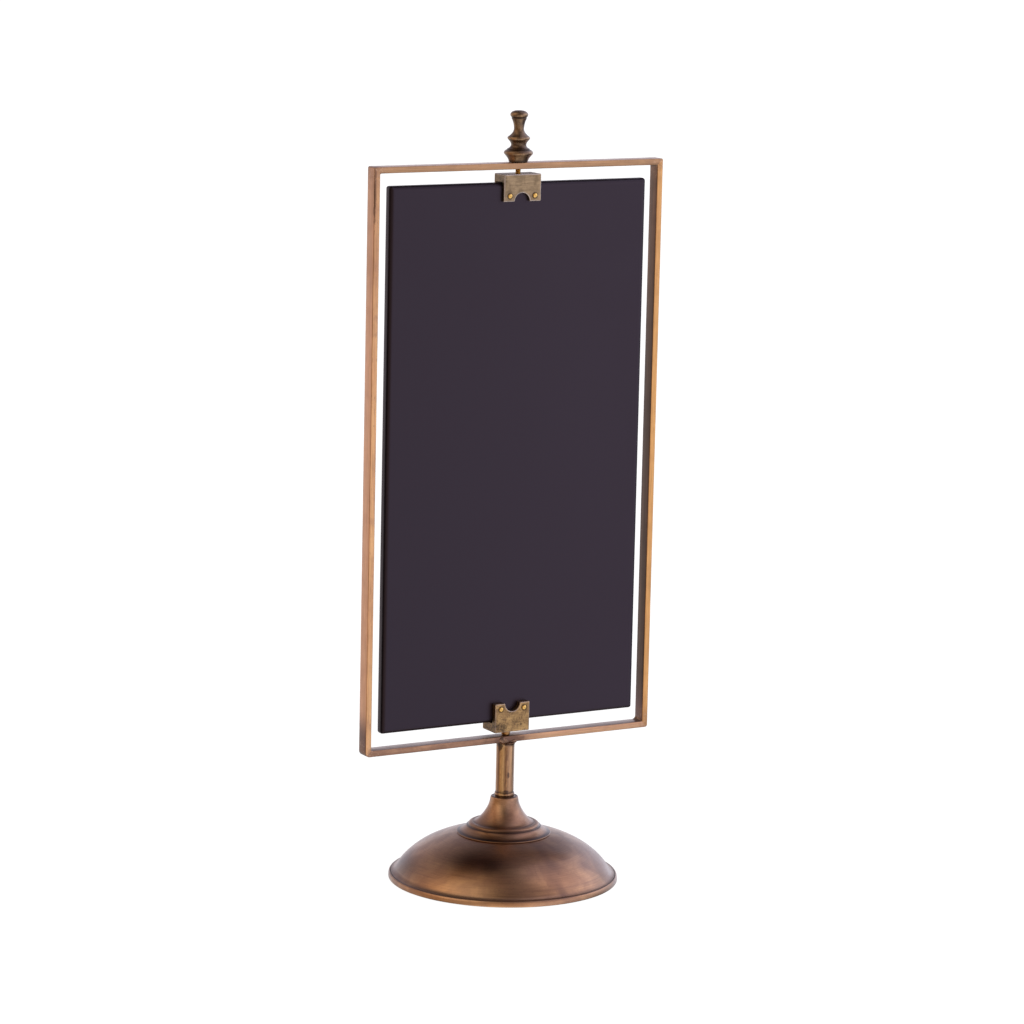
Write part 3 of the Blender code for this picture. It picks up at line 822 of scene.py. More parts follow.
def corner_braze(name, side, level, front, back, material):
    """Solder drawn into an inside corner: a hollow wedge whose legs grow from front to back."""
    corner = Vector((side * (FRAME_HALF_WIDTH - BAR_THICKNESS), 0, level))
    towards = Vector((-side, 0, 1 if level < FRAME_MIDDLE else -1))
    root = 0.4 * MM
    half_depth = BAR_DEPTH / 2 - 0.7 * MM
    stations = 14
    across = 7
    vertices = []
    for i in range(stations + 1):
        y = -half_depth + 2 * half_depth * i / stations
        leg = front + (back - front) * i / stations
        leg *= 1 + 0.25 * noise.noise(Vector((side * 40, y / (2 * MM), level * 90)))
        profile = [(-root, -root)]
        for j in range(across):
            angle = math.radians(90 * j / (across - 1))
            profile.append((leg * (1 - math.sin(angle)), leg * (1 - math.cos(angle))))
        profile[1] = (leg, -root)
        profile[-1] = (-root, leg)
        for u, v in profile:
            vertices.append((corner.x + towards.x * u, y, corner.z + towards.z * v))
    piece = lofted(name, vertices, across + 1, material)
    smooth(piece.data, 50)
    stand_in(piece, "stand", "frame_brass")


def make_frame(across, upright, braze):
    wide = (FRAME_HALF_WIDTH, FRAME_HALF_HEIGHT)
    tall = (FRAME_HALF_HEIGHT, FRAME_HALF_WIDTH)
    quarter = math.pi / 2
    bars = (
        ("top_rail", wide, 0, ("top_left", "top_right"), across),
        ("bottom_rail", wide, 2 * quarter, ("bottom_right", "bottom_left"), across),
        ("right_stile", tall, quarter, ("top_right", "bottom_right"), upright),
        ("left_stile", tall, -quarter, ("bottom_left", "top_left"), upright),
    )
    for node, halves, turn, corners, material in bars:
        bar = frame_bar("fine_" + node, *halves, turn, corners, material)
        if node.endswith("rail"):
            level = FRAME_TOP if node == "top_rail" else FRAME_BOTTOM
            combine(bar, "DIFFERENCE", tool("bore", round_shape((0, 0, level), PIN_BORE, 30 * MM)))
        smooth(bar.data, 40)
        stand_in(bar, "stand", "frame_brass", node)
    low = FRAME_BOTTOM + BAR_THICKNESS
    high = FRAME_TOP - BAR_THICKNESS
    corner_braze("braze_top_left", -1, high, 1.6 * MM, 1.4 * MM, braze)
    corner_braze("braze_top_right", 1, high, 0.9 * MM, 1.8 * MM, braze)
    corner_braze("braze_bottom_left", -1, low, 1.3 * MM, 1.8 * MM, braze)
    corner_braze("braze_bottom_right", 1, low, 0.9 * MM, 3.4 * MM, braze)


def make_pole_braze(material):
    """The lumpy joint that holds the pole's flared top to the bottom rail."""
    shape = bmesh.new()
    ball = 0.8 * MM
    ring = 8.6 * MM
    around = 30
    for i in range(around):
        angle = 2 * math.pi * i / around
        size = ball * (1 + 0.4 * noise.noise(Vector((3 * math.cos(angle), 3 * math.sin(angle), 5))))
        centre = Vector((ring * math.cos(angle), ring * math.sin(angle), POLE_TOP - 0.4 * MM))
        bmesh.ops.create_icosphere(
            shape, subdivisions=2, radius=size, matrix=Matrix.Translation(centre)
        )
    for side in (-1, 1):
        for i in range(15):
            x = (-7 + i) * MM
            size = ball * (1.0 + 0.5 * noise.noise(Vector((x * 400, side * 7.7, 2))))
            centre = Vector((x, side * (BAR_DEPTH / 2 - 0.1 * MM), FRAME_BOTTOM + 0.2 * MM))
            bmesh.ops.create_icosphere(
                shape, subdivisions=2, radius=size, matrix=Matrix.Translation(centre)
            )
    for x, z, wide, tall in ((-7.0, 2.6, 3.4, 2.6), (-3.4, 1.6, 2.6, 1.8), (5.0, 0.9, 2.6, 1.2)):
        lump = Vector((x * MM, -BAR_DEPTH / 2 + 0.2 * MM, FRAME_BOTTOM + z * MM))
        size = Matrix.Diagonal((wide * MM, 0.9 * MM, tall * MM, 1.0))
        bmesh.ops.create_icosphere(
            shape, subdivisions=3, radius=1.0, matrix=Matrix.Translation(lump) @ size
        )
    mesh = bpy.data.meshes.new("pole_braze")
    shape.to_mesh(mesh)
    shape.free()
    piece = add_piece("pole_braze", mesh, material)
    remesh(piece, 0.3 * MM, 6)
    stand_in(piece, "stand", "frame_brass")


# ---------------------------------------------------------------- swivelling board


def rivet_places(node):
    """Centres of the rivets whose nodes start with this name."""
    places = []
    for number in (1, 2):
        low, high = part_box(f"{node}_{number}")
        places.append((low + high) / 2)
    return places


def rivet_bores(places):
    return [
        tool(f"bore_{i}", round_shape(place, RIVET_BORE, CUT_LENGTH, True, 24))
        for i, place in enumerate(places)
    ]


def board_ring(inset, depth):
    """The board's outline, drawn in by inset at this depth, as a loop of points."""
    corner = max(BOARD_CORNER - inset, 0.3 * MM)
    half_width = (BOARD_HIGH.x - BOARD_LOW.x) / 2 - inset - corner
    half_height = (BOARD_HIGH.z - BOARD_LOW.z) / 2 - inset - corner
    middle = (BOARD_HIGH.z + BOARD_LOW.z) / 2
    points = []
    for x, z, start in ((1, 1, 0), (-1, 1, 90), (-1, -1, 180), (1, -1, 270)):
        centre = (x * half_width, middle + z * half_height)
        points += [(u, depth, v) for u, v in arc(centre, corner, start, start + 90, 7)]
    return points


def make_board(material):
    """A flat board with small corners and its front and back edges rounded over."""
    steps = 8
    flat_border = BOARD_EDGE + 1.2 * MM
    front = [(flat_border, BOARD_LOW.y)]
    for i in range(steps + 1):
        angle = math.pi / 2 * i / steps
        inset = BOARD_EDGE * (1 - math.sin(angle))
        front.append((inset, BOARD_LOW.y + BOARD_EDGE * (1 - math.cos(angle))))
    rings = front + [(inset, -depth) for inset, depth in reversed(front)]
    vertices = []
    for inset, depth in rings:
        vertices += board_ring(inset, depth)
    board = lofted("fine_board", vertices, len(vertices) // len(rings), None)
    bores = rivet_bores(rivet_places("upper_rivet") + rivet_places("lower_rivet"))
    combine(board, "DIFFERENCE", *bores)
    smooth(board.data, 30)
    board.data.materials.clear()
    board.data.materials.append(material)
    stand_in(board, "swivel_board", "board_black", "board")


def edge_wear(point, low, high, notch, reach):
    """1 on a clamp's outer edges and round its notch, falling to 0 at reach from them."""
    distances = sorted(
        (
            min(point.x - low.x, high.x - point.x),
            min(point.y - low.y, high.y - point.y),
            min(point.z - low.z, high.z - point.z),
            abs(math.hypot(point.x, point.z - notch) - NOTCH_RADIUS),
        )
    )
    return max(0.0, 1 - max(0.0, distances[1]) / reach)


def rivet_shade(point, rivets):
    """1 in a ring of painted shade round each rivet's head, and 0 away from it."""
    ring = 2.5 * MM
    width = 0.45 * MM
    away = min(math.hypot(point.x - rivet.x, point.z - rivet.z) for rivet in rivets)
    return math.exp(-(((away - ring) / width) ** 2))


def make_clamp(node, low, high, bridge, material):
    """A block over the board's edge. bridge is +1 for a bridge on top and -1 for one below."""
    notch = low.z if bridge > 0 else high.z
    outer = high.z if bridge > 0 else low.z
    board_edge = (BOARD_HIGH.z if bridge > 0 else BOARD_LOW.z) + bridge * GAP
    half_slot = (BOARD_HIGH.y - BOARD_LOW.y) / 2 + GAP
    width = high.x - low.x
    shape = box_shape(low, high)
    bmesh.ops.bevel(
        shape, geom=shape.edges[:], offset=0.5 * MM, segments=2, profile=0.5, affect="EDGES"
    )
    clamp = tool("fine_" + node, shape)
    far = board_edge - bridge * 2 * (high.z - low.z)
    slot_low = Vector((-width, -half_slot, min(board_edge, far)))
    slot_high = Vector((width, half_slot, max(board_edge, far)))
    cutters = [
        tool("slot", box_shape(slot_low, slot_high)),
        tool("notch", round_shape((0, 0, notch), NOTCH_RADIUS, CUT_LENGTH, True, 96)),
        tool("seat", round_shape((0, 0, outer), PIN_BORE, 2 * PIN_SEAT_DEPTH)),
    ]
    rivets = rivet_places(node.replace("clamp", "rivet"))
    combine(clamp, "DIFFERENCE", *cutters, *rivet_bores(rivets))
    remesh(clamp, 0.33 * MM, 3)
    mesh = clamp.data
    dented = []
    for vertex in mesh.vertices:
        dent = noise.noise(vertex.co / (5 * MM)) * 0.06 + noise.noise(vertex.co / (1.2 * MM)) * 0.02
        dented.extend(vertex.co + vertex.normal * dent * MM)
    mesh.vertices.foreach_set("co", dented)
    mesh.update()
    store(mesh, "crest", [edge_wear(v.co, low, high, notch, 1.0 * MM) for v in mesh.vertices])
    # The hollow attribute holds the painted shade round the rivets.
    store(mesh, "hollow", [rivet_shade(v.co, rivets) for v in mesh.vertices])
    mesh.shade_smooth()
    mesh.materials.clear()
    mesh.materials.append(material)
    stand_in(clamp, "swivel_board", "clamp_brass", node)


def make_rivet(node, material):
    """A rivet with a domed, centre-punched head on each side of its clamp."""
    low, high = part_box(node)
    centre = (low + high) / 2
    half = (high.y - low.y) / 2
    head = (high.x - low.x) / 2
    seat = half - 0.9 * MM
    dimple = 0.5 * MM
    profile = [
        *bend((0, half - 0.45 * MM), (0.25 * MM, half - 0.4 * MM), (dimple, half - 0.08 * MM), 5),
        *bend((dimple, half - 0.08 * MM), (0.85 * head, half), (head, seat + 0.15 * MM), 12),
        *bend((head, seat + 0.15 * MM), (head, seat), (head - 0.1 * MM, seat), 3),
        (1.2 * MM, seat),
    ]
    mirrored = [(radius, -height) for radius, height in reversed(profile)]
    rivet = turned("fine_" + node, profile + mirrored, material, steps=40)
    rivet.data.transform(Matrix.Translation(centre) @ Matrix.Rotation(math.pi / 2, 4, "X"))
    stand_in(rivet, "swivel_board", "bright_brass", node)


# ---------------------------------------------------------------- pins, finial and pole


def threaded(name, radius, bottom, top, pitch, depth, material, steps=32, rows=8):
    """A stud about Z with a helical thread and chamfered ends."""
    chamfer = 2.5 * depth
    count = math.ceil((top - bottom) / pitch * rows)
    vertices = [(0, 0, top)]
    hollow = [0.0]
    for i in range(count + 1):
        height = top - (top - bottom) * i / count
        to_end = min(top - height, height - bottom)
        for j in range(steps):
            angle = 2 * math.pi * j / steps
            phase = (height / pitch - j / steps) % 1
            groove = depth * abs(2 * phase - 1)
            at = min(radius - groove, radius - chamfer + to_end)
            vertices.append((at * math.cos(angle), at * math.sin(angle), height))
            hollow.append(groove / depth * 0.8)
    vertices.append((0, 0, bottom))
    hollow.append(0.0)
    faces = []
    for j in range(steps):
        k = (j + 1) % steps
        faces.append((0, 1 + j, 1 + k))
        last = 1 + count * steps
        faces.append((last + k, last + j, len(vertices) - 1))
        for i in range(count):
            above = 1 + i * steps
            below = above + steps
            faces.append((above + j, below + j, below + k, above + k))
    mesh = bpy.data.meshes.new(name)
    mesh.from_pydata(vertices, [], faces)
    smooth(mesh, 50)
    store(mesh, "hollow", hollow)
    return add_piece(name, mesh, material)


def make_pins(bright, spacer_brass, steel):
    for node, material, slot, pitch in (
        ("upper_pivot_pin", bright, "bright_brass", 0.9 * MM),
        ("lower_pivot_pin", bright, "bright_brass", 0.9 * MM),
        ("tie_rod", steel, "steel", 1.25 * MM),
    ):
        low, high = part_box(node)
        pin = threaded("fine_" + node, high.x, low.z, high.z, pitch, 0.45 * pitch, material)
        stand_in(pin, "stand", slot, node)
    low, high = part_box("lower_pivot_spacer")
    edge = 0.5 * MM
    profile = [
        (PIN_BORE, high.z),
        (high.x - edge, high.z),
        *arc((high.x - edge, high.z - edge), edge, 75, 0, 5),
        *arc((high.x - edge, low.z + edge), edge, 0, -75, 5),
        (high.x - edge, low.z),
        (PIN_BORE, low.z),
    ]
    spacer = turned("fine_lower_pivot_spacer", profile, spacer_brass, steps=64, closed=True)
    stand_in(spacer, "stand", "bright_brass", "lower_pivot_spacer")


def make_finial(material):
    """Cupped foot, two discs with a neck between them, waist, and a button top."""
    outline = [
        *bend((0, 44.4), (6.9, 44.4), (7.7, 40.9), 18),
        *bend((7.7, 40.9), (7.7, 39.5), (6.5, 38.5), 8),
        *bend((6.5, 38.5), (6.3, 38.2), (6.5, 37.9), 4),
        *bend((6.5, 37.9), (6.7, 37.6), (6.4, 37.2), 4),
        *bend((6.25, 36.9), (4.6, 33.6), (4.3, 28.9), 16),
        *bend((4.3, 28.9), (4.6, 25.0), (8.7, 22.2), 16),
        *bend((8.7, 22.2), (9.8, 21.5), (9.8, 20.6), 8),
        *bend((9.8, 20.6), (9.7, 20.0), (8.9, 19.1), 6),
        *bend((8.9, 19.1), (6.6, 16.9), (6.6, 15.0), 10),
        *bend((6.6, 15.0), (6.8, 12.8), (9.4, 11.7), 12),
        *bend((9.6, 11.6), (9.9, 11.4), (9.7, 11.1), 4),
        *bend((9.8, 10.9), (12.3, 10.0), (12.6, 8.3), 12),
        *bend((12.6, 8.3), (12.6, 7.4), (12.0, 6.8), 6),
        *bend((11.9, 6.7), (9.4, 4.2), (8.5, 1.8), 12),
        (8.5, 1.8),
        (8.3, 0.6),
        (7.8, 0.3),
        (PIN_BORE / MM, 0.3),
        (PIN_BORE / MM, 14.6),
        (0, 14.6),
    ]
    profile = [(radius * MM, FRAME_TOP + height * MM) for radius, height in outline]
    foot = (8.4 * MM, FRAME_TOP + 0.8 * MM, 1.4 * MM, 1.0)
    step = (9.7 * MM, FRAME_TOP + 10.8 * MM, 0.5 * MM, 1.0)
    finial = turned(
        "fine_finial",
        profile,
        material,
        steps=96,
        ripple=0.10 * MM,
        ripple_size=5 * MM,
        grime=(foot, step),
    )
    stand_in(finial, "stand", "clamp_brass", "finial")


def make_pole(material):
    top = POLE_TOP
    pin_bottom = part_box("lower_pivot_pin")[0].z - GAP
    rod_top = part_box("tie_rod")[1].z + GAP
    bead = COLLAR_TOP + 2.2 * MM
    neck = top - 4.5 * MM
    profile = [
        (0, pin_bottom),
        (PIN_BORE, pin_bottom),
        (PIN_BORE, top),
        (POLE_FLARE - 0.2 * MM, top),
        *bend((POLE_FLARE, top - 0.2 * MM), (POLE_RADIUS, top - 1.2 * MM), (POLE_RADIUS, neck)),
        *line((POLE_RADIUS, neck), (POLE_RADIUS, bead + 2.2 * MM), 24),
        *bend((POLE_RADIUS, bead + 1.6 * MM), (POLE_BEAD, bead + 1.4 * MM), (POLE_BEAD, bead), 8),
        *bend((POLE_BEAD, bead), (POLE_BEAD, bead - 1.4 * MM), (POLE_RADIUS, bead - 1.6 * MM), 8),
        (POLE_RADIUS, bead - 1.6 * MM),
        (POLE_RADIUS, POLE_FOOT + 0.4 * MM),
        (POLE_RADIUS - 0.4 * MM, POLE_FOOT),
        (ROD_BORE, POLE_FOOT),
        (ROD_BORE, rod_top),
        (0, rod_top),
    ]
    pole = turned("fine_pole", profile, material, steps=96, ripple=0.12 * MM, ripple_size=6 * MM)
    stand_in(pole, "stand", "frame_brass", "pole")


# ---------------------------------------------------------------- base


def dome_height(radius):
    """Height of the dome's outer surface at this distance from the axis."""
    inside = max(0.0, 1 - (radius / DOME_RADIUS) ** DOME_FLATNESS)
    return DOME_HEIGHT * inside ** (1 / DOME_FALL) + DOME_BASE


def on_dome(azimuth, radius):
    """The place on the dome at this azimuth and distance from the axis in millimetres."""
    place = direction(azimuth, 0) * radius * MM
    place.z = dome_height(radius * MM)
    return place


def make_dome(material):
    """A spun shell that flares out to a hem rolled along its rim, open below."""
    stations = 64
    first = ROD_BORE + GAP
    outer = []
    for i in range(stations):
        radius = first + (HEM_START - first) * math.sin(math.pi / 2 * i / stations)
        outer.append((radius, dome_height(radius)))
    seam_radius, seam_height = HEM_SEAM
    edge_radius = HEM_EDGE[0]
    groove = (seam_radius + 0.15 * MM, seam_height - 0.35 * MM)
    hem = (seam_radius + 0.45 * MM, seam_height - 0.05 * MM)
    foot = (edge_radius - 2.4 * MM, HEM_BOTTOM)
    rim = [
        *bend((HEM_START, dome_height(HEM_START)), HEM_COVE, HEM_SEAM, 12),
        HEM_SEAM,
        groove,
        *bend(hem, (edge_radius, seam_height), HEM_EDGE, 12),
        *bend(HEM_EDGE, (edge_radius, HEM_BOTTOM), foot, 10),
        foot,
        (seam_radius - 0.4 * MM, 1.5 * MM),
        (seam_radius - 0.6 * MM, seam_height - 1.6 * MM),
    ]
    inner = []
    for i in range(stations - 1):
        step = Vector(outer[i + 1]) - Vector(outer[i])
        inward = Vector((step.y, -step.x)).normalized() * DOME_WALL
        inner.append((outer[i][0] + inward.x, outer[i][1] + inward.y))
    inner = [p for p in inner if first <= p[0]]
    profile = outer + rim + list(reversed(inner)) + [(first, dome_height(first) - DOME_WALL)]
    grime = ((seam_radius, seam_height, 0.4 * MM, 0.9), (*foot, 0.9 * MM, 0.9))
    dome = turned(
        "fine_base_dome",
        profile,
        material,
        240,
        True,
        ripple=0.22 * MM,
        ripple_size=28 * MM,
        reach=0.4 * MM,
        grime=grime,
    )
    stand_in(dome, "stand", "base_bronze", "base_dome")


def collar_neck():
    """The concave neck from the mouth to the step, from top to bottom."""
    rows = 30
    high = COLLAR_TOP - 2.2 * MM
    radius, low = COLLAR_STEP
    points = []
    for i in range(rows):
        fall = i / rows
        spread = 1 - (1 - fall**1.53) ** (1 / 1.37)
        points.append((COLLAR_MOUTH + (radius - COLLAR_MOUTH) * spread, high + (low - high) * fall))
    return points


def make_collar(material):
    """Bell-shaped neck, convex shoulder, narrow ledge, and a thin lip that rests on the dome."""
    socket = POLE_RADIUS + GAP
    top = COLLAR_TOP
    edge = COLLAR_MOUTH - 0.2 * MM
    groove = 10.6 * MM
    brim = (groove + 0.5 * MM, top - 0.1 * MM)
    lip_bottom = dome_height(COLLAR_LIP) + GAP
    lip_top = lip_bottom + LIP_THICKNESS
    lip_crest = (COLLAR_LIP - 0.7 * MM, lip_top)
    lip_side = (COLLAR_LIP, lip_bottom + 0.35 * LIP_THICKNESS)
    underside = [
        (radius, dome_height(radius) + GAP)
        for radius in (38 * MM, 34 * MM, 28 * MM, 18 * MM, ROD_BORE)
    ]
    profile = [
        (socket, top - 0.6 * MM),
        *bend((socket, top - 0.5 * MM), (socket, top), (socket + 0.8 * MM, top), 4),
        (groove - 0.5 * MM, top),
        (groove - 0.3 * MM, top - 0.05 * MM),
        (groove, top - 0.3 * MM),
        (groove + 0.3 * MM, top - 0.12 * MM),
        *bend(brim, (edge, top - 0.1 * MM), (edge, top - 1.8 * MM), 8),
        *collar_neck(),
        *bend(COLLAR_STEP, (30.4 * MM, 51.4 * MM), COLLAR_SHOULDER, 16),
        *bend(COLLAR_SHOULDER, (31.5 * MM, 48.3 * MM), COLLAR_LEDGE, 8),
        *bend(COLLAR_LEDGE, (35.2 * MM, 44.8 * MM), lip_crest, 18),
        *bend(lip_crest, (COLLAR_LIP, lip_top - 0.1 * MM), lip_side, 6),
        *bend(lip_side, (COLLAR_LIP, lip_bottom), (COLLAR_LIP - 0.4 * MM, lip_bottom), 4),
        *underside,
        (ROD_BORE, POLE_FOOT - GAP),
        (socket, POLE_FOOT - GAP),
    ]
    # Dirt in the mouth's groove; the rings under the shoulder and over the lip are dirt and painted
    # shade.
    grime = (
        (32.0 * MM, 48.5 * MM, 1.5 * MM, 1.0),
        (39.6 * MM, 43.1 * MM, 2.0 * MM, 1.0),
        (groove, top - 0.3 * MM, 0.5 * MM, 1.0),
    )
    collar = turned(
        "fine_base_collar",
        profile,
        material,
        160,
        True,
        ripple=0.08 * MM,
        ripple_size=10 * MM,
        grime=grime,
    )
    stand_in(collar, "stand", "base_bronze", "base_collar")


def make_nut(material):
    """A hexagon nut, chamfered where its corners meet its faces."""
    low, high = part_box("rod_nut")
    across = high.x
    hexagon = round_shape((0, 0, (low.z + high.z) / 2), across, high.z - low.z, sides=6)
    mesh = bpy.data.meshes.new("fine_rod_nut")
    hexagon.to_mesh(mesh)
    hexagon.free()
    nut = add_piece("fine_rod_nut", mesh, material)
    chamfer = 0.8 * MM
    outline = [
        (0, high.z + 1 * MM),
        (across - 3 * chamfer, high.z),
        (across + chamfer, high.z - 1.6 * chamfer),
        (across + chamfer, low.z + 1.6 * chamfer),
        (across - 3 * chamfer, low.z),
        (0, low.z - 1 * MM),
    ]
    blank = turned("nut_blank", outline, None, steps=96)
    bore = tool("nut_bore", round_shape((0, 0, low.z), ROD_BORE, 40 * MM))
    combine(nut, "INTERSECT", blank)
    combine(nut, "DIFFERENCE", bore)
    smooth(nut.data, 25)
    stand_in(nut, "stand", "steel", "rod_nut")


def finish_carried_nodes(finishes):
    """Gives the CAD nodes that stay in view their procedural finishes."""
    for node, material in finishes.items():
        mesh = NODES[node].data
        mesh.materials.clear()
        mesh.materials.append(material)


def make_pad(material):
    low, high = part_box("foot_pad")
    edge = 0.4 * MM
    profile = [
        (0, high.z),
        *line((10 * MM, high.z), (high.x - edge, high.z), 10),
        *arc((high.x - edge, high.z - edge), edge, 90, 0, 4),
        *arc((high.x - edge, low.z + edge), edge, 0, -90, 4),
        *line((high.x - 2 * edge, low.z), (10 * MM, low.z), 10),
        (0, low.z),
    ]
    stand_in(turned("fine_foot_pad", profile, material, 160), "stand", "felt", "foot_pad")


# ---------------------------------------------------------------- studio


# Soft panels of light: azimuth, elevation, half angles where they fade in and are full, colour.
PANELS = (
    ("left_box", -90, 48, 42, 6, (0.72, 0.58, 0.46)),
    ("left_wall", -98, 12, 52, 12, (0.48, 0.32, 0.20)),
    ("back_left", -160, 20, 44, 8, (0.42, 0.38, 0.42)),
    ("back_left_floor", -150, -16, 44, 10, (0.60, 0.56, 0.54)),
    ("camera_side", -30, 0, 44, 8, (0.42, 0.30, 0.22)),
    ("near_floor", -30, -62, 58, 14, (0.95, 0.85, 0.75)),
    ("front_wall", 15, 12, 38, 6, (0.55, 0.48, 0.50)),
    ("front_floor", 32, -20, 46, 6, (0.72, 0.72, 0.82)),
    ("right_wall", 62, 14, 38, 6, (0.92, 0.92, 1.02)),
    ("right_side", 105, 10, 40, 6, (0.80, 0.88, 1.10)),
    ("right_box", 88, 48, 42, 6, (0.74, 0.71, 0.92)),
    ("front_high", 30, 48, 42, 6, (0.26, 0.23, 0.28)),
    ("back_right", 150, 12, 42, 8, (0.22, 0.20, 0.27)),
    ("back_right_floor", 150, -14, 40, 10, (0.70, 0.72, 0.76)),
)
SKY = ((0.0, 0.04), (1.0, 0.02))


def make_world():
    """Lights the stand from all round; the camera itself sees plain white."""
    world = bpy.data.worlds.new("studio")
    bpy.context.scene.world = world
    world.use_nodes = True
    nodes = world.node_tree.nodes
    links = world.node_tree.links
    background = nodes["Background"]
    towards = nodes.new("ShaderNodeTexCoord").outputs["Generated"]
    height = nodes.new("ShaderNodeSeparateXYZ")
    links.new(towards, height.inputs[0])
    half = nodes.new("ShaderNodeMath")
    half.operation = "MULTIPLY_ADD"
    half.inputs[1].default_value = 0.5
    half.inputs[2].default_value = 0.5
    links.new(height.outputs["Z"], half.inputs[0])
    ramp = nodes.new("ShaderNodeValToRGB")
    ramp.color_ramp.interpolation = "EASE"
    stops = ramp.color_ramp.elements
    while len(stops) < len(SKY):
        stops.new(0.5)
    for stop, (place, level) in zip(stops, SKY):
        stop.position = place
        stop.color = (level, level, level, 1.0)
    links.new(half.outputs[0], ramp.inputs[0])
    light = ramp.outputs[0]
    for name, azimuth, elevation, outer, inner, colour in PANELS:
        dot = nodes.new("ShaderNodeVectorMath")
        dot.operation = "DOT_PRODUCT"
        links.new(towards, dot.inputs[0])
        dot.inputs[1].default_value = direction(azimuth, elevation)
        fade = nodes.new("ShaderNodeMapRange")
        fade.interpolation_type = "SMOOTHSTEP"
        fade.inputs["From Min"].default_value = math.cos(math.radians(outer))
        fade.inputs["From Max"].default_value = math.cos(math.radians(inner))
        links.new(dot.outputs["Value"], fade.inputs["Value"])
        panel = nodes.new("ShaderNodeMix")
        panel.name = name
        panel.data_type = "RGBA"
        panel.blend_type = "ADD"
        links.new(fade.outputs[0], panel.inputs[0])
        links.new(light, panel.inputs[6])
        panel.inputs[7].default_value = (*colour, 1.0)
        light = panel.outputs[2]
    path = nodes.new("ShaderNodeLightPath")
    seen = nodes.new("ShaderNodeMix")
    seen.data_type = "RGBA"
    links.new(path.outputs["Is Camera Ray"], seen.inputs[0])
    links.new(light, seen.inputs[6])
    seen.inputs[7].default_value = (1.0, 1.0, 1.0, 1.0)
    links.new(seen.outputs[2], background.inputs["Color"])


def make_floor():
    """A wide pale floor that glows a little, so that it stays nearly white round the base."""
    mesh = bpy.data.meshes.new("floor")
    shape = bmesh.new()
    bmesh.ops.create_grid(shape, x_segments=2, y_segments=2, size=30.0)
    shape.to_mesh(mesh)
    shape.free()
    material = bpy.data.materials.new("studio_floor")
    material.use_nodes = True
    shader = material.node_tree.nodes["Principled BSDF"]
    shader.inputs["Base Color"].default_value = (0.25, 0.25, 0.25, 1.0)
    shader.inputs["Roughness"].default_value = 0.9
    shader.inputs["Specular IOR Level"].default_value = 0.0
    shader.inputs["Emission Color"].default_value = (1.0, 1.0, 1.0, 1.0)
    shader.inputs["Emission Strength"].default_value = 0.96
    material.cycles.emission_sampling = "NONE"
    floor = add_piece("floor", mesh, material)
    floor.location.z = -0.1 * MM
    floor.visible_glossy = False
    floor.visible_diffuse = False


def make_camera():
    towards = -direction(-CAMERA_AZIMUTH, CAMERA_ELEVATION)
    right = towards.cross(Vector((0, 0, 1))).normalized()
    up = right.cross(towards)
    roll = math.radians(CAMERA_ROLL)
    rolled_right = math.cos(roll) * right + math.sin(roll) * up
    rolled_up = math.cos(roll) * up - math.sin(roll) * right
    data = bpy.data.cameras.new("camera")
    data.lens = CAMERA_LENS
    data.sensor_width = CAMERA_SENSOR
    data.clip_start = 0.05
    data.clip_end = 100.0
    camera = bpy.data.objects.new("camera", data)
    bpy.context.scene.collection.objects.link(camera)
    turn = Matrix((rolled_right, rolled_up, -towards)).transposed().to_4x4()
    camera.matrix_world = Matrix.Translation(CAMERA_TARGET - CAMERA_DISTANCE * towards) @ turn
    bpy.context.scene.camera = camera


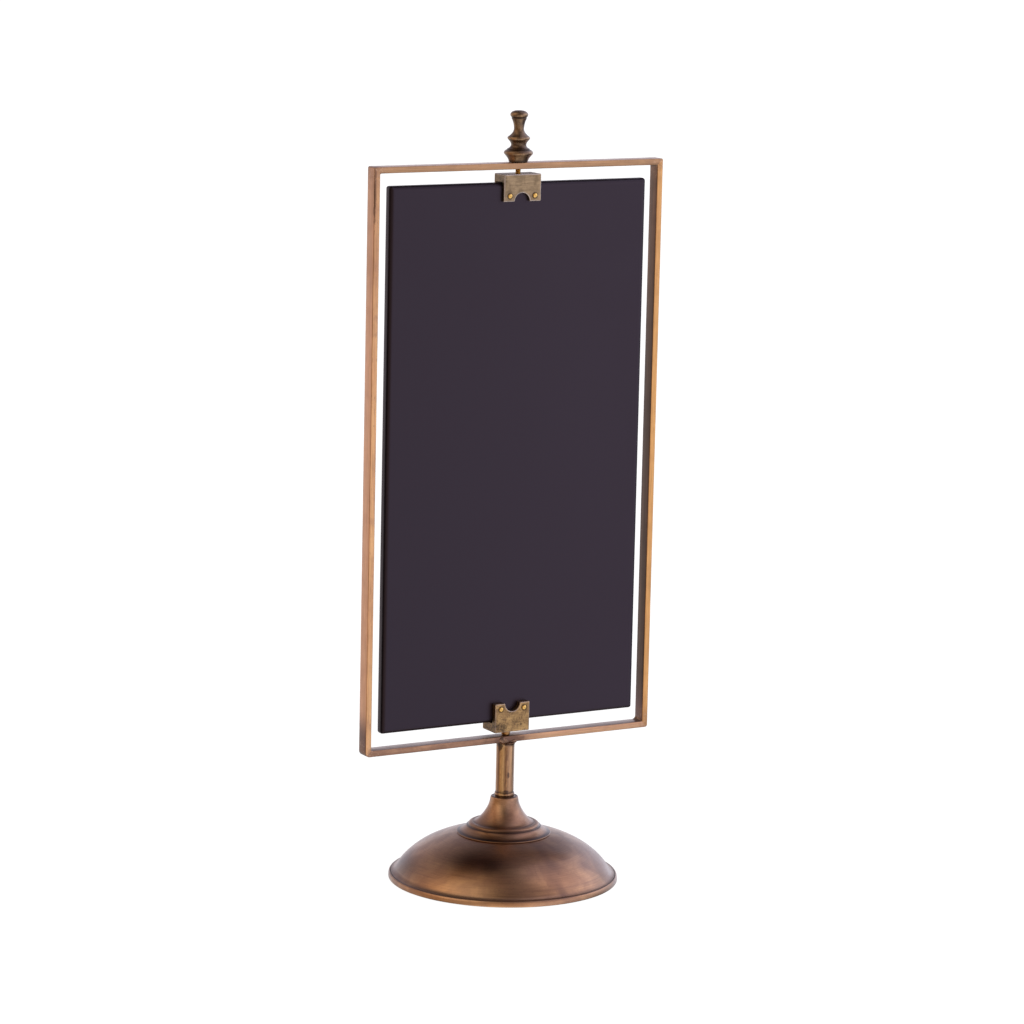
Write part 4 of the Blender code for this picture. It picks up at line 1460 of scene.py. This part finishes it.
def main():
    bpy.context.scene.view_settings.view_transform = "Standard"
    make_camera()
    make_world()
    make_floor()

    bronze = ((0.45, 0.245, 0.125), (0.36, 0.19, 0.105), (0.20, 0.105, 0.07))
    # Painted reflections, highlights and shade on the dome.
    dome_painted_light = [
        (azimuth, on_dome(azimuth, radius), tuple(side * MM for side in size), factors)
        for azimuth, radius, size, factors in DOME_PAINTED_LIGHT
    ]
    dome_bronze = turned_brass("dome_bronze", *bronze, painted_light=dome_painted_light)
    neck = COLLAR_TOP - 6 * MM
    # Painted highlight and shade on the collar's neck: gold at the left front, brown at the right
    # front.
    gold = direction(-36, 0) * 14 * MM + Vector((0, 0, neck))
    brown = direction(14, 0) * 15 * MM + Vector((0, 0, neck))
    collar_painted_light = (
        (0, gold, (10 * MM, 10 * MM, 13 * MM), (1.6, 1.95, 2.3)),
        (0, brown, (13 * MM, 13 * MM, 18 * MM), (0.62, 0.60, 0.68)),
    )
    collar_bronze = turned_brass("collar_bronze", *bronze, painted_light=collar_painted_light)
    finial_brass = turned_brass(
        "finial_brass",
        (0.33, 0.215, 0.12),
        (0.185, 0.118, 0.072),
        (0.085, 0.055, 0.04),
        rough=0.34,
        coat=0.3,
        blotch=5 * MM,
        worn=0.2,
    )
    braze = clamp_brass(
        "braze", (0.34, 0.20, 0.12), (0.17, 0.10, 0.065), (0.045, 0.028, 0.024), 1.0, 1.0
    )
    # Painted shade over the spacer, darkest at its right front.
    spacer_shade = (4 * MM, -2 * MM, POLE_TOP + 8 * MM)
    spacer = turned_brass(
        "spacer_brass",
        (0.62, 0.34, 0.11),
        (0.30, 0.16, 0.06),
        (0.10, 0.055, 0.03),
        rough=0.3,
        blotch=3 * MM,
        painted_light=((0, spacer_shade, (9 * MM, 12 * MM, 12 * MM), (0.12, 0.10, 0.10)),),
    )
    bright = bright_brass()
    steel = plain_metal(
        "steel", (0.52, 0.52, 0.53), (0.36, 0.36, 0.37), 1.0, 0.25, 0.45, 0.4 * MM, 0.01 * MM
    )
    iron = plain_metal(
        "cast_iron",
        (0.07, 0.068, 0.066),
        (0.035, 0.034, 0.034),
        metallic=0.7,
        low=0.55,
        high=0.8,
        grain=1.1 * MM,
        depth=0.15 * MM,
    )
    front = -LOWER_CLAMP_HIGH.y
    end = LOWER_CLAMP_LOW.x
    foot = LOWER_CLAMP_LOW.z
    lower_stains = (
        ((end + 6 * MM, front, foot + 5 * MM), (6 * MM, 4 * MM, 5 * MM), 0.8),
        ((4.5 * MM, front, foot + 8.5 * MM), (7 * MM, 3 * MM, 5 * MM), 0.35),
        ((end, 0, foot + 5 * MM), (3 * MM, 22 * MM, 16 * MM), 0.8),
    )
    upper_end = Vector((UPPER_CLAMP_LOW.x, 0, UPPER_CLAMP_HIGH.z - 4 * MM))
    upper_stains = ((tuple(upper_end), (3 * MM, 20 * MM, 16 * MM), 0.8),)
    upper = clamp_brass(
        "upper_clamp_brass",
        (0.37, 0.265, 0.150),
        (0.28, 0.200, 0.112),
        (0.15, 0.105, 0.06),
        0.2,
        0.4,
        stains=upper_stains,
    )
    lower = clamp_brass(
        "lower_clamp_brass",
        (0.49, 0.31, 0.125),
        (0.33, 0.205, 0.088),
        (0.07, 0.045, 0.03),
        0.8,
        0.8,
        edges=0.5,
        stains=lower_stains,
    )

    make_frame(bar_brass("bar_brass_across", 0), bar_brass("bar_brass_upright", 2), braze)
    make_pole_braze(braze)
    make_board(board_black())
    make_clamp("upper_clamp", UPPER_CLAMP_LOW, UPPER_CLAMP_HIGH, 1, upper)
    make_clamp("lower_clamp", LOWER_CLAMP_LOW, LOWER_CLAMP_HIGH, -1, lower)
    for node in ("upper_rivet_1", "upper_rivet_2", "lower_rivet_1", "lower_rivet_2"):
        make_rivet(node, bright)
    make_pins(bright, spacer, steel)
    make_finial(finial_brass)
    make_pole(pole_brass())
    make_dome(dome_bronze)
    make_collar(collar_bronze)
    make_nut(steel)
    make_pad(felt())
    finish_carried_nodes({"base_weight": iron, "rod_washer": steel, "lock_washer": steel})


main()
